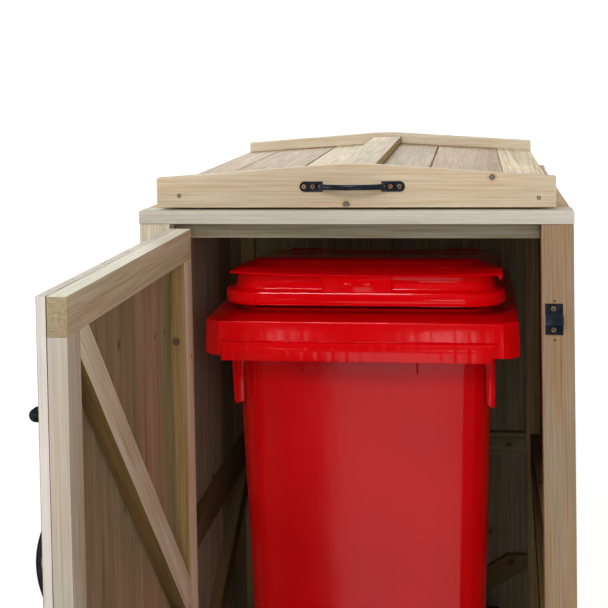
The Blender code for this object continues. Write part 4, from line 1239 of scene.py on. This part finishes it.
def lid_fittings():
    """The grip wing, the block under it, the oval boss and the hinge arms."""
    bm = bmesh.new()
    grip_wing(bm, BIN_X - 0.2530, BIN_X + 0.2670)
    left, right = BIN_X - 0.0757, BIN_X + 0.0585
    prism(bm, [(left, 1.0460), (right, 1.0460), (right, 1.0790), (left, 1.0790)], "y",
          BIN_FRONT + 0.0580, BIN_FRONT + 0.0790, 0.0010)
    oval_boss(bm)
    rear = BIN_FRONT + LID_FAR - 0.012
    eye = 0.008
    for side in (-1, 1):
        x0, x1 = sorted((BIN_X + side * 0.1665, BIN_X + side * 0.2055))
        prism(bm, [(rear, HINGE.z - 0.011), (HINGE.y - eye, HINGE.z - eye)]
              + hinge_arc(eye, -math.pi / 2) + [(rear, HINGE.z + 0.002)], "x", x0, x1, 0.0012)
    moulded("bin_lid_fittings", bm, "bin_lid")


TREAD = ((-0.010, 0), (-0.0085, 0.0016), (-0.0075, 0.0016), (-0.006, 0),
         (0.006, 0), (0.0075, 0.0016), (0.0085, 0.0016), (0.010, 0))    # place and depth
TYRE_EDGE = 0.010
HUB_BORE = 0.0104
SPOKES = 6


def wheels():
    for node in ("bin_wheel_left", "bin_wheel_right"):
        low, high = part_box(node)
        radius = (high.z - low.z) / 2
        half = (high.x - low.x) / 2
        place = Matrix.Translation(middle_of(node)) @ Matrix.Rotation(math.pi / 2, 4, "Y")
        profile = [(radius - 0.026, -half + 0.004), (radius - 0.022, -half + 0.001),
                   (radius - 0.010, -half)]
        profile += [(radius - TYRE_EDGE * (1 - math.sin(a)),
                     -half + TYRE_EDGE * (1 - math.cos(a)))
                    for a in (math.pi / 2 * i / 5 for i in range(6))]
        wall = profile[:]
        profile += [(radius - deep, across) for across, deep in TREAD]
        profile += [(r, -across) for r, across in reversed(wall)]
        tyre = bmesh.new()
        turned(tyre, profile, place, 72, ring=True)
        finish_piece(node + "_tyre", tyre, HERE, MAT["rubber"], BODY_OF[node],
                     (node,), 35)

        rim_in = radius - 0.024
        side = [(HUB_BORE, -half + 0.001), (0.020, -half + 0.001), (0.023, -half + 0.004),
                (0.025, -0.004), (rim_in - 0.006, -0.004), (rim_in - 0.004, -half + 0.006),
                (rim_in + 0.001, -half + 0.005)]
        hub = bmesh.new()
        turned(hub, side + [(r, -across) for r, across in reversed(side)], place, 48, ring=True)
        for k in range(SPOKES):
            spoke = bmesh.new()
            bmesh.ops.create_cube(spoke, size=1.0)
            bmesh.ops.scale(spoke, vec=(rim_in - 0.024, 0.006, half * 1.55), verts=spoke.verts)
            bmesh.ops.translate(spoke, vec=((rim_in + 0.018) / 2, 0, 0), verts=spoke.verts)
            bmesh.ops.bevel(spoke, geom=spoke.edges[:], offset=0.0012, segments=2,
                            profile=0.5, affect="EDGES")
            turn = Matrix.Rotation(2 * math.pi * k / SPOKES, 4, "Z")
            bmesh.ops.transform(spoke, matrix=place @ turn, verts=spoke.verts)
            merge(hub, spoke)
        finish_piece(node + "_hub", hub, HERE, MAT["rubber"], BODY_OF[node])


# ---------------------------------------------------------------- stage, light and camera
FLOOR_HALF = 60.0
FLOOR_SHADED = 1.6          # the floor takes shadows up to this far from the object
FLOOR_WHITE = 4.0           # and is plain white beyond this
FLOOR_COLOUR = (0.60, 0.59, 0.58)
CARD = ((-0.41, -3.7), (0.184, -3.7), (0.20, -1.2), (-0.11, -1.2))
WARM_WHITE = (1.0, 0.98, 0.95)


def sheet(name, corners, height, material):
    """A flat stage sheet with its corners given in order."""
    mesh = bpy.data.meshes.new(name)
    mesh.from_pydata([(x, y, height) for x, y in corners], [], [range(len(corners))])
    mesh.materials.append(material)
    made = bpy.data.objects.new(name, mesh)
    bpy.context.scene.collection.objects.link(made)
    return made


def stage():
    g = material_graph("pale_floor")
    x, y = g.split(g.place())[:2]
    away = g.maths("SQRT", x * x + y * y)
    share = g.span(away, FLOOR_SHADED, FLOOR_WHITE, 0.80, 1.0)
    seen = g.either(g.ray("Is Camera Ray") * share, g.diffuse(FLOOR_COLOUR),
                    g.glow("ShaderNodeEmission", 1.12))
    g.shown(g.either(g.ray("Is Glossy Ray"), seen, g.diffuse((0.02, 0.02, 0.02))))
    far = FLOOR_HALF
    sheet("floor", ((-far, -far), (far, -far), (far, far), (-far, far)), 0.0, g.owner)

    # a bright sheet on the ground in front, seen only as a reflection in the bin
    g = material_graph("bright_card")
    card = sheet("reflected_card", CARD, 0.004, g.shown(g.glow("ShaderNodeEmission", 0.85)))
    card.visible_camera = False
    card.visible_diffuse = False
    card.visible_shadow = False


def area(name, place, target, size, power):
    light = bpy.data.lights.new(name, "AREA")
    light.shape = "RECTANGLE"
    light.size, light.size_y = size
    light.energy = power
    made = bpy.data.objects.new(name, light)
    made.location = place
    made.rotation_mode = "QUATERNION"
    made.rotation_quaternion = (Vector(target) - Vector(place)).to_track_quat("-Z", "Y")
    made.visible_camera = False
    bpy.context.scene.collection.objects.link(made)
    return made


def lights():
    # name, place, target, size, power in watts
    for settings in (("key", (-0.95, -4.60, 3.85), (0, -0.6, 0.9), (1.8, 1.4), 86),
                     ("front", (0.60, -4.60, 1.75), (0, -0.6, 0.9), (1.6, 1.7), 36)):
        area(*settings).visible_glossy = False
    for settings in (("top", (0.2, -0.4, 4.4), (0, -0.4, 1.2), (2.6, 2.6), 10),
                     ("right_front", (4.2, -1.6, 1.9), (0, -1.2, 0.8), (1.6, 2.4), 32),
                     ("right_rear", (4.0, 2.2, 2.0), (0, -0.4, 0.7), (1.6, 2.0), 60),
                     ("left", (-4.4, -0.8, 2.2), (0, -0.6, 0.8), (1.8, 2.4), 90),
                     ("back", (-0.8, 5.0, 2.8), (0, 0, 0.7), (2.6, 2.0), 150)):
        area(*settings)
    # windows and a lamp that only show as highlights on the plastic and the steel
    for name, place, size, power in (("window_left", (-0.64, -3.40, 0.54), (0.045, 0.14), 0.16),
                                     ("window_next", (-0.52, -3.40, 0.54), (0.02, 0.12), 0.05),
                                     ("window_middle", (0.03, -3.40, 0.50), (0.02, 0.12), 0.08),
                                     ("window_right", (0.11, -3.40, 0.53), (0.08, 0.12), 0.16),
                                     ("window_far", (-2.6, -3.4, 1.0), (0.30, 1.2), 8),
                                     ("window_side", (2.4, -3.4, 1.0), (0.20, 1.2), 5),
                                     ("lamp", (-0.45, -3.40, 3.40), (0.8, 0.3), 16)):
        area(name, place, (0, -0.8, 1.0), size, power).visible_diffuse = False

    # the studio is white to the camera, soft to the timber and dark to reflections
    world = bpy.data.worlds.new("studio")
    bpy.context.scene.world = world
    g = Graph(world)
    kind = "ShaderNodeBackground"
    unseen = g.either(g.ray("Is Glossy Ray"), g.glow(kind, 0.22, WARM_WHITE), g.glow(kind, 0.02))
    g.shown(g.either(g.ray("Is Camera Ray"), unseen, g.glow(kind, 1.0)), "ShaderNodeOutputWorld")


CAMERA_BESIDE = 0.217       # to the right of the store's middle
CAMERA_BEFORE = 2.234       # in front of the roof frame's front face
CAMERA_HIGH = 1.487
CAMERA_LEFT = 7.63          # degrees turned to the left
CAMERA_DOWN = 2.12
CAMERA_ROLL = -0.96
CAMERA_LENS = 74.77
CAMERA_DROP = -0.321        # the picture's middle lies below the lens axis


def camera():
    data = bpy.data.cameras.new("camera")
    data.lens = CAMERA_LENS
    data.sensor_width = 36.0
    made = bpy.data.objects.new("camera", data)
    bpy.context.scene.collection.objects.link(made)
    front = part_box("roof_frame_front")[0].y
    made.location = (CAMERA_BESIDE, front - CAMERA_BEFORE, CAMERA_HIGH)
    turn = (Matrix.Rotation(math.radians(CAMERA_LEFT), 4, "Z")
            @ Matrix.Rotation(math.radians(90 - CAMERA_DOWN), 4, "X")
            @ Matrix.Rotation(math.radians(CAMERA_ROLL), 4, "Z"))
    made.rotation_mode = "QUATERNION"
    made.rotation_quaternion = turn.to_quaternion()
    # the shift belongs to this place only: from any other the object is centred
    driver = data.driver_add("shift_y").driver
    driver.type = "SCRIPTED"
    for name, channel in (("x", "LOC_X"), ("y", "LOC_Y")):
        variable = driver.variables.new()
        variable.name = name
        variable.type = "TRANSFORMS"
        variable.targets[0].id = made
        variable.targets[0].transform_type = channel
    driver.expression = "%.4f if abs(x - %.4f) + abs(y - %.4f) < 0.01 else 0.0" % (
        CAMERA_DROP, made.location.x, made.location.y)
    bpy.context.scene.camera = made
    bpy.context.scene.view_settings.view_transform = "Standard"


carcass()
cladding()
roof_lid()
door()
ironmongery()
bin_shell()
bin_fittings()
lid_shell()
lid_fittings()
wheels()
stage()
lights()
camera()
